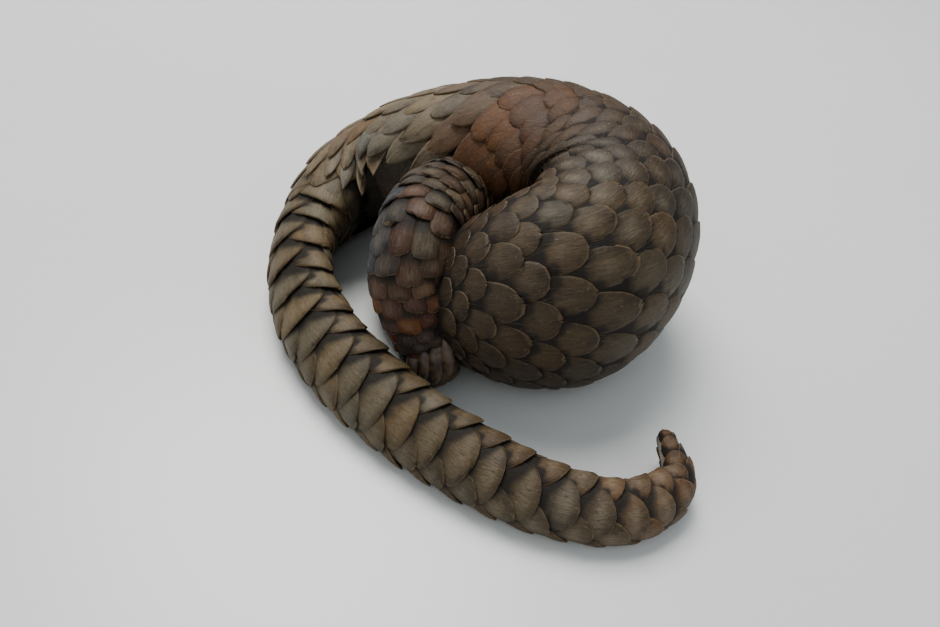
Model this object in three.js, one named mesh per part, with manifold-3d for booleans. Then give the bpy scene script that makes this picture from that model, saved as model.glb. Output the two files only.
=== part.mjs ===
// A Sunda pangolin curled on its left side, in millimetres with +Z up and the floor at Z = 0.
// The body is one lofted tube from the nose round to the tip of the tail, parted into lengths.
// Every large scale is a plate that rises from its root to a free edge, raised on its length.

import * as THREE from 'three';
import Module from 'manifold-3d';

const wasm = await Module();
wasm.setup();
const { Manifold, Mesh } = wasm;

// Shared clearances and depths
const MEETING_GAP = 0.3;
const GROWN_SHIFT = 0.35;
const SMALLEST_EDGE = 0.08;
const SEED = 4605;

// A scale rises from its root to its free edge: shares of the height of its tip
const ROOT_SHARE = 0.08;
const UNDER_SHARE = 0.26;
const SIDE_SHARE = 0.45;
const CROWN_SHARE = 0.74;
const SHOULDER_SHARE = 0.92;
const CROWN_PLACE = 0.55;

// How far round from the dorsal line the scales reach, on the right side and on the left one,
// and how far marginal ones stand out
const RIGHT_SPREAD = [[1.8, 124], [5, 132], [6, 146], [7.4, 146], [8.2, 112], [9.5, 100]];
const LEFT_SPREAD = [[1.8, 124], [5, 132], [6, 146]];
const LEG_SPREAD = 146;
const TAIL_EDGE_HEIGHT = 4.8;

// Columns of scales round the tail: one along the top, one along each edge, one between the top
// and the left edge, and four below
const TAIL_EDGES = [84, 276];
const TAIL_COLUMNS = [2, TAIL_EDGES[0], 128, 166, 203, 240, TAIL_EDGES[1], 318];

// The rounding of the snout and tail beyond their last cross-sections
const SNOUT_DOME = 6;
const TAIL_DOME = 5;
const END_BULGE = 1;

// The origin is put on the floor under the middle of the trunk.
const REST_POINT = [16, 2, 0];

// A station is a cross-section of a limb: where its centre is, its half sizes towards the
// dorsal, ventral, right and left side, how far it is rolled about the limb, in degrees, and
// how far a fold of flesh fills the quarter between its right and its ventral side.
const station = (name, centre, halves, roll = 0, fold = 0) => ({
  name,
  values: [...centre.map((value, axis) => value - REST_POINT[axis]), ...halves, roll, fold],
});

const BODY_STATIONS = [
  station('nose', [-145, 18, 27], [7, 7, 8, 8]),
  station('brow', [-132, -10, 32], [20, 17, 22, 23]),
  station('nape', [-106, -30, 42], [31, 24, 32, 36]),
  station('neck', [-76, -38, 54], [44, 34, 47, 52], 4),
  station('shoulder', [-44, -41, 65], [52, 40, 62, 66], 8, 4),
  station('back', [-12, -28, 72], [55, 38, 69, 75], 8, 12),
  station('bend', [8, 12, 75], [56, 40, 74, 79], 8, 20),
  station('loin', [-8, 54, 77], [56, 43, 74, 80], 10, 20),
  station('hip', [-56, 84, 75], [52, 50, 70, 78], 16, 16),
  station('rump', [-118, 92, 66], [44, 42, 58, 66], 26, 6),
  station('tail_base', [-172, 78, 48], [35, 26, 42, 46], 26),
  station('tail_a', [-194, 34, 34], [28, 15, 33, 34], 22),
  station('tail_b', [-196, -14, 29], [19, 13, 28, 28], 30),
  station('tail_c', [-174, -60, 24], [17, 12, 25, 25], 40),
  station('tail_d', [-133, -102, 21], [16, 12, 24, 24], 45),
  station('tail_e', [-82, -136, 19], [15, 11, 22, 22], 44),
  station('tail_f', [-28, -159, 17], [15, 11, 19, 20], 42),
  station('tail_g', [21, -162, 15], [14, 11, 16, 18], 38),
  station('tail_h', [53, -140, 16], [12, 9, 13, 15], 24),
  station('tail_tip', [49, -112, 23], [6, 5, 6, 7], 10),
];

// Where the body is parted, in stations counted from the nose
const BODY_LENGTHS = [
  ['head', 0, 1.9],
  ['neck', 1.9, 3.3],
  ['torso_shoulder', 3.3, 4.8],
  ['torso_back', 4.8, 6.2],
  ['torso_loin', 6.2, 7.7],
  ['torso_rump', 7.7, 9.5],
  ['tail_1', 9.5, 11],
  ['tail_2', 11, 12.6],
  ['tail_3', 12.6, 14.2],
  ['tail_4', 14.2, 15.8],
  ['tail_5', 15.8, 17.2],
  ['tail_6', 17.2, 18.2],
  ['tail_tip', 18.2, 19],
];

const HINDLEG_RIGHT_STATIONS = [
  station('root', [-88, 66, 66], [27, 27, 27, 27]),
  station('hip', [-98, 34, 79], [27, 27, 27, 27]),
  station('thigh', [-112, -3, 90], [26, 26, 27, 26]),
  station('knee', [-118, -38, 88], [25, 25, 26, 25]),
  station('shank', [-116, -56, 66], [23, 22, 24, 24]),
  station('ankle', [-106, -65, 39], [17, 17, 20, 19]),
  station('sole', [-97, -72, 20], [13, 14, 17, 16]),
  station('toes', [-92, -74, 12], [9, 9, 13, 13]),
];

const HINDLEG_LEFT_STATIONS = [
  station('root', [-110, 66, 36], [20, 20, 20, 20]),
  station('knee', [-102, 38, 26], [17, 16, 16, 16]),
  station('ankle', [-90, 22, 18], [12, 12, 12, 12]),
  station('toes', [-76, 14, 13], [8, 8, 9, 9]),
];

const FORELEG_RIGHT_STATIONS = [
  station('root', [-42, -34, 78], [24, 24, 24, 24]),
  station('elbow', [-78, -14, 72], [21, 20, 21, 21]),
  station('wrist', [-90, 8, 55], [16, 15, 16, 16]),
  station('palm', [-95, 20, 43], [12, 12, 14, 14]),
  station('fingers', [-97, 26, 34], [8, 8, 11, 11]),
];

const FORELEG_LEFT_STATIONS = [
  station('root', [-50, -24, 36], [18, 18, 18, 18]),
  station('elbow', [-44, 6, 24], [15, 14, 14, 14]),
  station('wrist', [-52, 20, 16], [11, 11, 11, 11]),
  station('fingers', [-66, 25, 12], [7, 7, 9, 9]),
];

// The outer side of each leg, which its widest scales face
const RIGHT_HIND_OUTER = [-0.25, -0.6, 0.75];
const LEFT_HIND_OUTER = [0.3, -0.4, 0.85];
const RIGHT_FORE_OUTER = [-0.2, -0.35, 0.9];
const LEFT_FORE_OUTER = [-0.3, 0.5, 0.8];

// Small vector helpers
const add = (a, b) => [a[0] + b[0], a[1] + b[1], a[2] + b[2]];
const sub = (a, b) => [a[0] - b[0], a[1] - b[1], a[2] - b[2]];
const scaled = (a, k) => [a[0] * k, a[1] * k, a[2] * k];
const dot = (a, b) => a[0] * b[0] + a[1] * b[1] + a[2] * b[2];
const cross = (a, b) => [
  a[1] * b[2] - a[2] * b[1],
  a[2] * b[0] - a[0] * b[2],
  a[0] * b[1] - a[1] * b[0],
];
const unit = (a) => scaled(a, 1 / Math.hypot(...a));
const radians = (degrees) => (degrees * Math.PI) / 180;
const mix = (a, b, k) => a + (b - a) * k;

// A repeatable random number from -1 to 1 for a row, a column and a purpose
function noise(row, column, purpose) {
  let state = Math.imul(row + 911, 73856093) ^ Math.imul(column + 37, 19349663);
  state ^= Math.imul(purpose + SEED, 83492791);
  state = Math.imul(state ^ (state >>> 15), 2246822519);
  state = Math.imul(state ^ (state >>> 13), 3266489917);
  return ((state ^ (state >>> 16)) >>> 0) / 2147483648 - 1;
}

// A value read from a short table of [place, value] pairs by straight lines between them
function fromTable(table, place) {
  if (place <= table[0][0]) return table[0][1];
  for (let i = 1; i < table.length; i += 1) {
    const [end, value] = table[i];
    const [start, before] = table[i - 1];
    if (place <= end) return mix(before, value, (place - start) / (end - start));
  }
  return table[table.length - 1][1];
}

// A limb is a smooth centre line with an oval cross-section that changes along it.
class Limb {
  constructor(stations, { outer = null, startDome = 4, endDome = 4 } = {}) {
    this.rows = stations.map((entry) => entry.values);
    this.last = stations.length - 1;
    this.outer = outer;
    this.domes = [startDome, endDome];
    this.lengths = this.measure();
    this.total = this.lengths[this.lengths.length - 1];
  }

  // All nine station values at place t, by a uniform Catmull-Rom curve
  valuesAt(t) {
    const i = Math.min(Math.max(Math.floor(t), 0), this.last - 1);
    const u = t - i;
    const row = (k) => {
      if (k < 0) return this.rows[0].map((value, n) => 2 * value - this.rows[1][n]);
      if (k > this.last) {
        return this.rows[this.last].map((value, n) => 2 * value - this.rows[this.last - 1][n]);
      }
      return this.rows[k];
    };
    const [p0, p1, p2, p3] = [row(i - 1), row(i), row(i + 1), row(i + 2)];
    return p1.map((value, n) => 0.5 * (
      2 * value
      + (p2[n] - p0[n]) * u
      + (2 * p0[n] - 5 * value + 4 * p2[n] - p3[n]) * u * u
      + (3 * value - p0[n] - 3 * p2[n] + p3[n]) * u * u * u
    ));
  }

  // The centre, the direction along the limb and the dorsal and right sides at place t
  frameAt(t) {
    const values = this.valuesAt(t);
    const step = 0.001;
    const ahead = this.valuesAt(Math.min(t + step, this.last));
    const behind = this.valuesAt(Math.max(t - step, 0));
    const along = unit(sub(ahead.slice(0, 3), behind.slice(0, 3)));
    let level = cross(along, [0, 0, 1]);
    if (this.outer) level = sub(this.outer, scaled(along, dot(this.outer, along)));
    level = unit(level);
    const upper = cross(level, along);
    const roll = radians(values[7]);
    const dorsal = add(scaled(level, Math.cos(roll)), scaled(upper, Math.sin(roll)));
    const right = sub(scaled(upper, Math.cos(roll)), scaled(level, Math.sin(roll)));
    return {
      centre: values.slice(0, 3), along, dorsal, right, halves: values.slice(3, 7), fold: values[8],
    };
  }

  // A point at a length along the limb, which runs on over a rounded dome at each end
  spot(length, angle, raise = 0) {
    const over = Math.max(length - this.total, -length, 0);
    if (over === 0) return this.point(this.placeAt(length), angle, raise);
    const atEnd = length > 0;
    const share = Math.min(over / this.domes[atEnd ? 1 : 0], 0.999);
    const t = atEnd ? this.last : 0;
    const move = scaled(this.frameAt(t).along, atEnd ? over : -over);
    return add(this.point(t, angle, raise, Math.sqrt(1 - share * share)), move);
  }

  // A point at place t and angle, where 0 is dorsal and 90 is the right side, raised outward
  point(t, angle, raise = 0, squeeze = 1) {
    const { centre, dorsal, right, halves, fold } = this.frameAt(t);
    const c = Math.cos(radians(angle));
    const s = Math.sin(radians(angle));
    const folded = 2 * fold * Math.min(c, 0) * Math.max(s, 0);
    const deep = (((c > 0 ? halves[0] : halves[1]) + raise) * c + folded) * squeeze;
    const wide = ((s > 0 ? halves[2] : halves[3]) + raise) * s * squeeze;
    return add(centre, add(scaled(dorsal, deep), scaled(right, wide)));
  }

  // Lengths from the first station, for steps of a fortieth of a station
  measure() {
    const lengths = [0];
    let before = this.valuesAt(0);
    for (let k = 1; k <= this.last * 40; k += 1) {
      const here = this.valuesAt(k / 40);
      lengths.push(lengths[k - 1] + Math.hypot(...sub(here.slice(0, 3), before.slice(0, 3))));
      before = here;
    }
    return lengths;
  }

  lengthAt(t) {
    const k = Math.min(Math.max(t * 40, 0), this.lengths.length - 1.001);
    return mix(this.lengths[Math.floor(k)], this.lengths[Math.floor(k) + 1], k - Math.floor(k));
  }

  placeAt(length) {
    const wanted = Math.min(Math.max(length, 0), this.total);
    let k = this.lengths.findIndex((value) => value > wanted);
    if (k < 1) k = wanted <= 0 ? 1 : this.lengths.length - 1;
    const part = (wanted - this.lengths[k - 1]) / (this.lengths[k] - this.lengths[k - 1]);
    return (k - 1 + Math.min(part, 1)) / 40;
  }

  // Whether a point lies inside the limb once its cross-sections are shrunk by a factor
  holds(spot, factor, from = 0, to = this.last) {
    for (let t = from; t <= to; t += 0.1) {
      const { centre, along, dorsal, right, halves } = this.frameAt(t);
      const away = sub(spot, centre);
      const deep = dot(away, dorsal);
      const wide = dot(away, right);
      const oval = Math.hypot(
        deep / (deep > 0 ? halves[0] : halves[1]),
        wide / (wide > 0 ? halves[2] : halves[3]),
      );
      if (Math.abs(dot(away, along)) < 4 && oval < factor) return true;
    }
    return false;
  }
}

// Closed solids from points and triangles
function solidFrom(points, triangles) {
  return new Manifold(new Mesh({
    numProp: 3,
    vertProperties: new Float32Array(points.flat()),
    triVerts: new Uint32Array(triangles.flat()),
  }));
}

// A closed skin over rings of equal count, with a point at each end
function solidFromRings(rings, first, last) {
  const count = rings[0].length;
  const points = [first, ...rings.flat(), last];
  const end = points.length - 1;
  const triangles = [];
  for (let k = 0; k < count; k += 1) {
    const next = (k + 1) % count;
    triangles.push([0, 1 + next, 1 + k]);
    for (let r = 0; r < rings.length - 1; r += 1) {
      const [a, b] = [1 + r * count + k, 1 + r * count + next];
      triangles.push([a, b, b + count], [a, b + count, a + count]);
    }
    triangles.push([end, end - count + k, end - count + next]);
  }
  return solidFrom(points, triangles);
}

// A coat covers a limb with columns of scales set round it. Every second column lies half a
// row on, so the tips stand between one another: row and column numbers of a scale are both
// even or both odd, and rows count half steps along the limb.
class Coat {
  constructor(limb, { angles, from, to, pitch, height, bulge, bare, jitter = 1 }) {
    Object.assign(this, { limb, angles, pitch, height, bulge, bare, jitter });
    this.count = angles.length;
    this.marks = [from];
    while (this.marks[this.marks.length - 1] < to) {
      const length = this.marks[this.marks.length - 1];
      this.marks.push(length + fromTable(pitch, this.placeOf(length)) / 2);
    }
    this.bareMemory = new Map();
  }

  placeOf(length) {
    return this.limb.placeAt(length);
  }

  column(j) {
    return ((j % this.count) + this.count) % this.count;
  }

  angleOf(j) {
    return this.angles[this.column(j)] + 360 * Math.floor(j / this.count);
  }

  // Where the tip of scale (k, j) lies, as a length and an angle
  tipOf(k, j) {
    const column = this.column(j);
    const pitch = fromTable(this.pitch, this.placeOf(this.marks[k]));
    const spacing = this.angleOf(j + 1) - this.angleOf(j);
    return {
      length: this.marks[k] + 0.05 * this.jitter * pitch * noise(k, column, 1),
      angle: this.angleOf(j) + 0.06 * this.jitter * spacing * noise(k, column, 2),
    };
  }

  // Whether scale (k, j) is there at all, or its cell is bare skin
  hasScale(k, j) {
    if (k < this.firstScale || k > this.lastScale) return false;
    const column = this.column(j);
    const key = k * 64 + column;
    if (!this.bareMemory.has(key)) {
      const { length, angle } = this.tipOf(k, column);
      this.bareMemory.set(key, this.bare(this.placeOf(length), this.angles[column], () => (
        this.limb.spot(length - 0.3 * fromTable(this.pitch, this.placeOf(length)), angle, 1)
      )));
    }
    return !this.bareMemory.get(key);
  }

  tall(k, j) {
    const column = this.column(j);
    const place = this.placeOf(this.marks[k]);
    return this.height(place, this.angles[column]) * (1 + 0.12 * noise(k, column, 3));
  }

  // The heights that meet at the tip of scale (k, j): its own tip, the corners of the scales
  // beside it and the root of the next one in its column
  heightsAt(k, j) {
    const tall = this.tall(k, j);
    const root = this.hasScale(k + 2, j) ? ROOT_SHARE * tall : 0;
    const beside = [this.hasScale(k + 1, j - 1), this.hasScale(k + 1, j + 1)];
    let side = root;
    if (beside[0] && beside[1]) side = SIDE_SHARE * tall;
    else if (beside[0] || beside[1]) side = Math.max(root, 0.5 * SIDE_SHARE * tall);
    return { root, side, tip: this.hasScale(k, j) ? tall : side };
  }

  // The shoulder between a side corner and the tip of scale (k, j), towards column j + way
  shoulder(k, j, way) {
    const upper = this.hasScale(k, j);
    const lower = this.hasScale(k + 1, j + way);
    if (!upper && !lower) return null;
    const corner = this.tipOf(k - 1, j + way);
    const tip = this.tipOf(k, j);
    const bulge = upper ? this.bulge(this.placeOf(tip.length), this.angles[this.column(j)]) : 0;
    const low = lower ? UNDER_SHARE * this.tall(k, j) : 0;
    return {
      length: (corner.length + tip.length) / 2 + bulge * (tip.length - corner.length) / 2,
      angle: (corner.angle + tip.angle) / 2 + bulge * (corner.angle - tip.angle) / 2,
      low,
      high: upper ? SHOULDER_SHARE * this.tall(k, j) : low,
    };
  }

  // One closed solid from the last row before one length to the first row past another
  solid(low, high, grow = 0) {
    const first = Math.max(this.marks.findIndex((mark) => mark > low) - 5, 0);
    const past = this.marks.findIndex((mark) => mark > high);
    const last = past < 0 ? this.marks.length - 1 : Math.min(past + 4, this.marks.length - 1);
    this.firstScale = first + 4;
    this.lastScale = last - 2;
    const points = [];
    const known = new Map();
    const corner = (name, where, height) => {
      const key = `${name}:${height.toFixed(4)}`;
      if (!known.has(key)) {
        known.set(key, points.length);
        const shift = grow > 0 && height > 0 ? GROWN_SHIFT : 0;
        points.push(this.limb.spot(where.length + shift, where.angle, height + grow));
      }
      return known.get(key);
    };
    const triangles = [];
    const face = (a, b, c) => {
      if (a !== b && b !== c && c !== a) triangles.push([a, b, c]);
    };
    const tipCorner = (k, j, level) => (
      corner(`${k},${this.column(j)}`, this.tipOf(k, j), this.heightsAt(k, j)[level])
    );
    const shoulderCorner = (k, j, way, level) => {
      const where = this.shoulder(k, j, way);
      return where ? corner(`${k},${this.column(j)},${way}`, where, where[level]) : null;
    };
    const wall = (corners) => {
      face(corners[0], corners[1], corners[2]);
      face(corners[0], corners[2], corners[3]);
    };
    for (let k = first + 2; k <= last; k += 1) {
      for (let j = k % 2; j < this.count; j += 2) {
        const tip = tipCorner(k, j, 'tip');
        const left = tipCorner(k - 1, j - 1, 'side');
        const right = tipCorner(k - 1, j + 1, 'side');
        const rim = [
          tipCorner(k - 2, j, 'root'),
          k > first + 2 ? shoulderCorner(k - 1, j - 1, 1, 'low') : null,
          left,
          shoulderCorner(k, j, -1, 'high'),
          tip,
          shoulderCorner(k, j, 1, 'high'),
          right,
          k > first + 2 ? shoulderCorner(k - 1, j + 1, -1, 'low') : null,
        ].filter((index) => index !== null);
        if (rim.length === 4) {
          face(rim[0], rim[1], rim[2]);
          face(rim[0], rim[2], rim[3]);
        } else {
          const { length, angle } = this.tipOf(k, j);
          const back = (length - this.tipOf(k - 2, j).length) * (1 - CROWN_PLACE);
          const crown = this.hasScale(k, j) ? CROWN_SHARE * this.tall(k, j) : 0;
          const middle = corner(`${k},${this.column(j)},c`, { length: length - back, angle }, crown);
          rim.forEach((index, n) => face(middle, index, rim[(n + 1) % rim.length]));
        }
        for (const way of [-1, 1]) {
          const ends = [
            tipCorner(k - 1, j + way, 'side'), shoulderCorner(k, j, way, 'high'), tip,
            tipCorner(k, j, 'side'), shoulderCorner(k, j, way, 'low'), tipCorner(k - 1, j + way, 'root'),
          ];
          const steps = ends[1] === null
            ? [[ends[0], ends[2], ends[3], ends[5]]]
            : [[ends[0], ends[1], ends[4], ends[5]], [ends[1], ends[2], ends[3], ends[4]]];
          steps.forEach((corners) => wall(way > 0 ? corners : corners.reverse()));
        }
      }
    }
    this.closeEnds(first, last, tipCorner, points, face, grow);
    return solidFrom(points, triangles);
  }

  // A fan over each open end
  closeEnds(first, last, tipCorner, points, face, grow) {
    const centreOf = (k, way) => {
      const opposite = this.column(Math.round(this.count / 2));
      const a = this.limb.spot(this.marks[k], this.angles[0]);
      const b = this.limb.spot(this.marks[k], this.angles[opposite]);
      const along = this.limb.frameAt(this.placeOf(this.marks[k])).along;
      return add(scaled(add(a, b), 0.5), scaled(along, way * (END_BULGE + grow)));
    };
    points.push(centreOf(first, -1), centreOf(last, 1));
    const [start, end] = [points.length - 2, points.length - 1];
    for (let j = first % 2; j < this.count; j += 2) {
      const root = tipCorner(first, j, 'root');
      face(start, root, tipCorner(first + 1, j + 1, 'side'));
      face(start, tipCorner(first + 1, j - 1, 'side'), root);
    }
    for (let j = last % 2; j < this.count; j += 2) {
      const tip = tipCorner(last, j, 'tip');
      face(end, tip, tipCorner(last - 1, j - 1, 'side'));
      face(end, tipCorner(last - 1, j + 1, 'side'), tip);
    }
  }
}

// A claw: a tapering horn from a base sunk in the foot, bent towards one side
function clawSolid({ base, aim, bend, length, radius }, grow = 0) {
  const along = unit(aim);
  const side = unit(cross(along, bend));
  const lift = cross(side, along);
  const centreAt = (u) => add(
    base,
    add(scaled(along, length * u), scaled(lift, length * 0.45 * Math.max(u, 0) ** 2)),
  );
  const sides = 5;
  const ring = (u, size) => Array.from({ length: sides }, (_, k) => {
    const angle = (2 * Math.PI * k) / sides;
    const wide = (radius * size + grow) * Math.cos(angle);
    const deep = (radius * size * 0.8 + grow) * Math.sin(angle);
    return add(centreAt(u), add(scaled(side, wide), scaled(lift, deep)));
  });
  const rings = [ring(-0.45, 0.9), ring(0.2, 1), ring(0.65, 0.68)];
  return solidFromRings(rings.map((r) => r.reverse()), centreAt(-0.6), centreAt(1 + grow / length));
}

// Claws side by side across the end of a foot, the middle ones largest
function footClaws(limb, place, sizes, { radius, spread, bendTo, fan }) {
  const { centre, along, dorsal, right } = limb.frameAt(place);
  return sizes.map((length, k) => {
    const across = (2 * k) / (sizes.length - 1) - 1;
    return {
      base: add(centre, add(scaled(right, across * spread), scaled(dorsal, -1))),
      aim: add(along, scaled(right, across * fan)),
      bend: bendTo,
      length,
      radius: radius * mix(1, 0.8, Math.abs(across)),
    };
  });
}

// An egg-shaped solid with its own three half sizes and axes
function eggSolid(centre, axes, halves, sides = 10, rows = 5) {
  const point = (polar, turn) => {
    const flat = Math.sin(polar);
    return add(centre, add(
      scaled(axes[0], halves[0] * flat * Math.cos(turn)),
      add(scaled(axes[1], halves[1] * flat * Math.sin(turn)), scaled(axes[2], halves[2] * Math.cos(polar))),
    ));
  };
  const rings = [];
  for (let r = 1; r < rows; r += 1) {
    rings.push(Array.from({ length: sides }, (_, k) => (
      point(Math.PI - (Math.PI * r) / rows, (2 * Math.PI * k) / sides)
    )));
  }
  return solidFromRings(rings, point(Math.PI, 0), point(0, 0));
}

// The axes of the surface at a place on a limb: outward, along it and across it
function surfaceAxes(limb, t, angle) {
  const here = limb.point(t, angle);
  const along = unit(sub(limb.point(t + 0.05, angle), limb.point(t - 0.05, angle)));
  const round = unit(sub(limb.point(t, angle + 2), limb.point(t, angle - 2)));
  const outward = unit(cross(along, round));
  return { here, outward, along, across: cross(outward, along) };
}

// The eyes, sunk in the sides of the head under thick lids
const EYE = { place: 0.92, angle: 74, radius: 4.4, sunk: 2.2, lid: 6.6, opening: [5.4, 2.6] };

function eyeAt(limb, sign) {
  const axes = surfaceAxes(limb, EYE.place, EYE.angle * sign);
  return { ...axes, centre: add(axes.here, scaled(axes.outward, -EYE.sunk)) };
}

const eyeball = ({ centre, outward, along, across }, grow = 0) => {
  const radius = EYE.radius + grow;
  return eggSolid(centre, [along, across, outward], [radius, radius, radius], 10, 7);
};

function lidSolid({ here, outward, along, across }) {
  const centre = add(here, scaled(outward, -2.6));
  return eggSolid(centre, [along, across, outward], [EYE.lid * 1.15, EYE.lid, EYE.lid * 0.82], 12, 6);
}

function lidOpening({ here, outward, along, across }) {
  const centre = add(here, scaled(outward, 3.4));
  return eggSolid(centre, [along, across, outward], [...EYE.opening, 6], 8, 5);
}

// The ears: a low cup with a rolled rim, opening outward and back
const EAR = { place: 1.5, angle: 82, halves: [6.2, 9, 5], hollow: [3.4, 6.2, 5], offset: [1.6, 2.6] };

function earSolid(limb, sign, grow = 0) {
  const { here, outward, along, across } = surfaceAxes(limb, EAR.place, EAR.angle * sign);
  const axes = [along, across, outward];
  const outer = eggSolid(here, axes, EAR.halves.map((half) => half + grow), 10, 6);
  if (grow > 0) return outer;
  const mouth = add(here, add(scaled(outward, EAR.offset[1]), scaled(along, EAR.offset[0])));
  return outer.subtract(eggSolid(mouth, axes, EAR.hollow, 8, 5));
}

// The nostrils and the line of the mouth, cut into the snout
const NOSTRIL = { halves: [1.2, 1.7, 2.6], spread: 3.1, lift: 1.4 };
const MOUTH = { from: 0.07, to: 0.62, angle: 122, half: 2.2, depth: 1.8 };

function nostrilSolid(limb, sign) {
  const { centre, along, dorsal, right } = limb.frameAt(0);
  const tip = add(centre, scaled(along, -SNOUT_DOME));
  const spot = add(tip, add(scaled(right, sign * NOSTRIL.spread), scaled(dorsal, NOSTRIL.lift)));
  return eggSolid(spot, [dorsal, right, along], NOSTRIL.halves, 8, 5);
}

function mouthSolid(limb, sign) {
  const steps = 5;
  const ring = (k) => {
    const t = mix(MOUTH.from, MOUTH.to, k / steps);
    const angle = sign * (MOUTH.angle + 10 * (k / steps));
    return [
      limb.point(t, angle + MOUTH.half, 2),
      limb.point(t, angle - MOUTH.half, 2),
      limb.point(t, angle - MOUTH.half * 0.5, -MOUTH.depth),
      limb.point(t, angle + MOUTH.half * 0.5, -MOUTH.depth),
    ];
  };
  const rings = Array.from({ length: steps + 1 }, (_, k) => ring(k));
  const middle = (corners) => scaled(corners.reduce(add), 1 / corners.length);
  return solidFromRings(rings, middle(rings[0]), middle(rings[steps]));
}

// Keeping a node one closed body above the floor
function largestBody(solid) {
  const bodies = solid.decompose();
  return bodies.reduce((best, body) => (body.volume() > best.volume() ? body : best));
}

function finished(solid) {
  const clipped = solid.trimByPlane([0, 0, 1], 0);
  return largestBody(clipped.simplify(SMALLEST_EDGE));
}

// The plane across a limb at place t that keeps what lies ahead of it or, with way -1, behind
function planeAt(limb, t, way, clearance = MEETING_GAP / 2) {
  const { centre, along } = limb.frameAt(t);
  const normal = scaled(along, way);
  return [normal, dot(normal, centre) + clearance];
}

// What lies between two places of a limb, without half the gap at each cut
function parted(solid, limb, from, to) {
  let result = solid;
  if (from > 0) result = result.trimByPlane(...planeAt(limb, from, 1));
  if (to < limb.last) result = result.trimByPlane(...planeAt(limb, to, -1));
  return result;
}

// The limbs
const body = new Limb(BODY_STATIONS, { startDome: SNOUT_DOME, endDome: TAIL_DOME });
const hindRight = new Limb(HINDLEG_RIGHT_STATIONS, { outer: RIGHT_HIND_OUTER, endDome: 5 });
const hindLeft = new Limb(HINDLEG_LEFT_STATIONS, { outer: LEFT_HIND_OUTER });
const foreRight = new Limb(FORELEG_RIGHT_STATIONS, { outer: RIGHT_FORE_OUTER });
const foreLeft = new Limb(FORELEG_LEFT_STATIONS, { outer: LEFT_FORE_OUTER });
const LIMBS = [hindRight, hindLeft, foreRight, foreLeft];

// Evenly spaced columns, the first one along the dorsal line
const evenAngles = (count) => Array.from({ length: count }, (_, k) => (360 * k) / count);
const fromDorsal = (angle) => Math.min(angle, 360 - angle);
const spreadAt = (t, angle) => fromTable(angle < 180 ? RIGHT_SPREAD : LEFT_SPREAD, t);
const underLeg = (spot) => LIMBS.some((leg) => leg.holds(spot(), 0.85));

// The coats of the body, from the head to the tail
const headCoat = new Coat(body, {
  angles: evenAngles(14),
  from: -SNOUT_DOME * 0.97,
  to: body.lengthAt(1.9) + 30,
  pitch: [[0, 6.5], [0.3, 9.5], [1, 13], [1.8, 16]],
  height: (t) => mix(0.8, 1.7, Math.min(t / 1.8, 1)),
  bulge: () => 0.3,
  bare: (t, angle) => t < 0.45 || fromDorsal(angle) > 62,
  jitter: 0.6,
});

const trunkCoat = new Coat(body, {
  angles: evenAngles(16),
  from: body.lengthAt(1.9) - 45,
  to: body.lengthAt(9.5) + 60,
  pitch: [[1.8, 17], [3, 21], [4, 24.5], [5, 24.5], [6, 22], [7, 23], [7.8, 28], [8.4, 33]],
  height: (t, angle) => fromTable([[1.8, 2], [3, 3], [9.3, 3.6]], t)
    * mix(1, 0.6, (fromDorsal(angle) / spreadAt(t, angle)) ** 4),
  bulge: (t) => fromTable([[7.5, 0.34], [9, 0.12]], t),
  bare: (t, angle, spot) => fromDorsal(angle) > spreadAt(t, angle) || underLeg(spot),
});

const tailRootCoat = new Coat(body, {
  angles: evenAngles(12),
  from: body.lengthAt(9.5) - 60,
  to: body.lengthAt(11) + 50,
  pitch: [[9, 27], [11, 22]],
  height: (t, angle) => (fromDorsal(angle) > 115 ? 2 : 3.6),
  bulge: () => 0.08,
  bare: (t, angle, spot) => (t < 10 && angle < 180 && angle > spreadAt(t, angle)) || underLeg(spot),
});

const tailCoat = new Coat(body, {
  angles: TAIL_COLUMNS,
  from: body.lengthAt(11) - 50,
  to: body.total + TAIL_DOME * 0.97,
  pitch: [[10.6, 22], [14, 21.5], [16, 21], [17.4, 16], [18.4, 11], [19, 8]],
  height: (t, angle) => fromTable([[11, 1], [16, 0.9], [19, 0.4]], t) * (
    TAIL_EDGES.includes(angle) ? TAIL_EDGE_HEIGHT : fromTable([[30, 3.4], [149, 1.8]], fromDorsal(angle))
  ),
  bulge: (t, angle) => (TAIL_EDGES.includes(angle) ? -0.12 : 0.26),
  bare: (t, angle) => t > 18.95 || (t > 17.5 && angle > 100 && angle < 230),
});

// The coats of the legs
const legCoat = (limb, { count, pitch, height, toeFrom }) => new Coat(limb, {
  angles: evenAngles(count),
  from: -limb.domes[0] * 0.9,
  to: limb.total + limb.domes[1] * 0.97,
  pitch,
  height: (t) => height * mix(1, 0.7, t / limb.last),
  bulge: () => 0.34,
  bare: (t, angle, spot) => (
    t > toeFrom || fromDorsal(angle) > LEG_SPREAD || body.holds(spot(), 0.96, 1.5, 10.6)
  ),
});

// A length of the body in its coat, before it is parted
function bodyLength(coat, from, to, grow = 0) {
  return coat.solid(body.lengthAt(from), body.lengthAt(to), grow);
}

function coatOf(name) {
  if (name === 'head') return headCoat;
  if (name === 'tail_1') return tailRootCoat;
  return name.startsWith('tail') ? tailCoat : trunkCoat;
}

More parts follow.
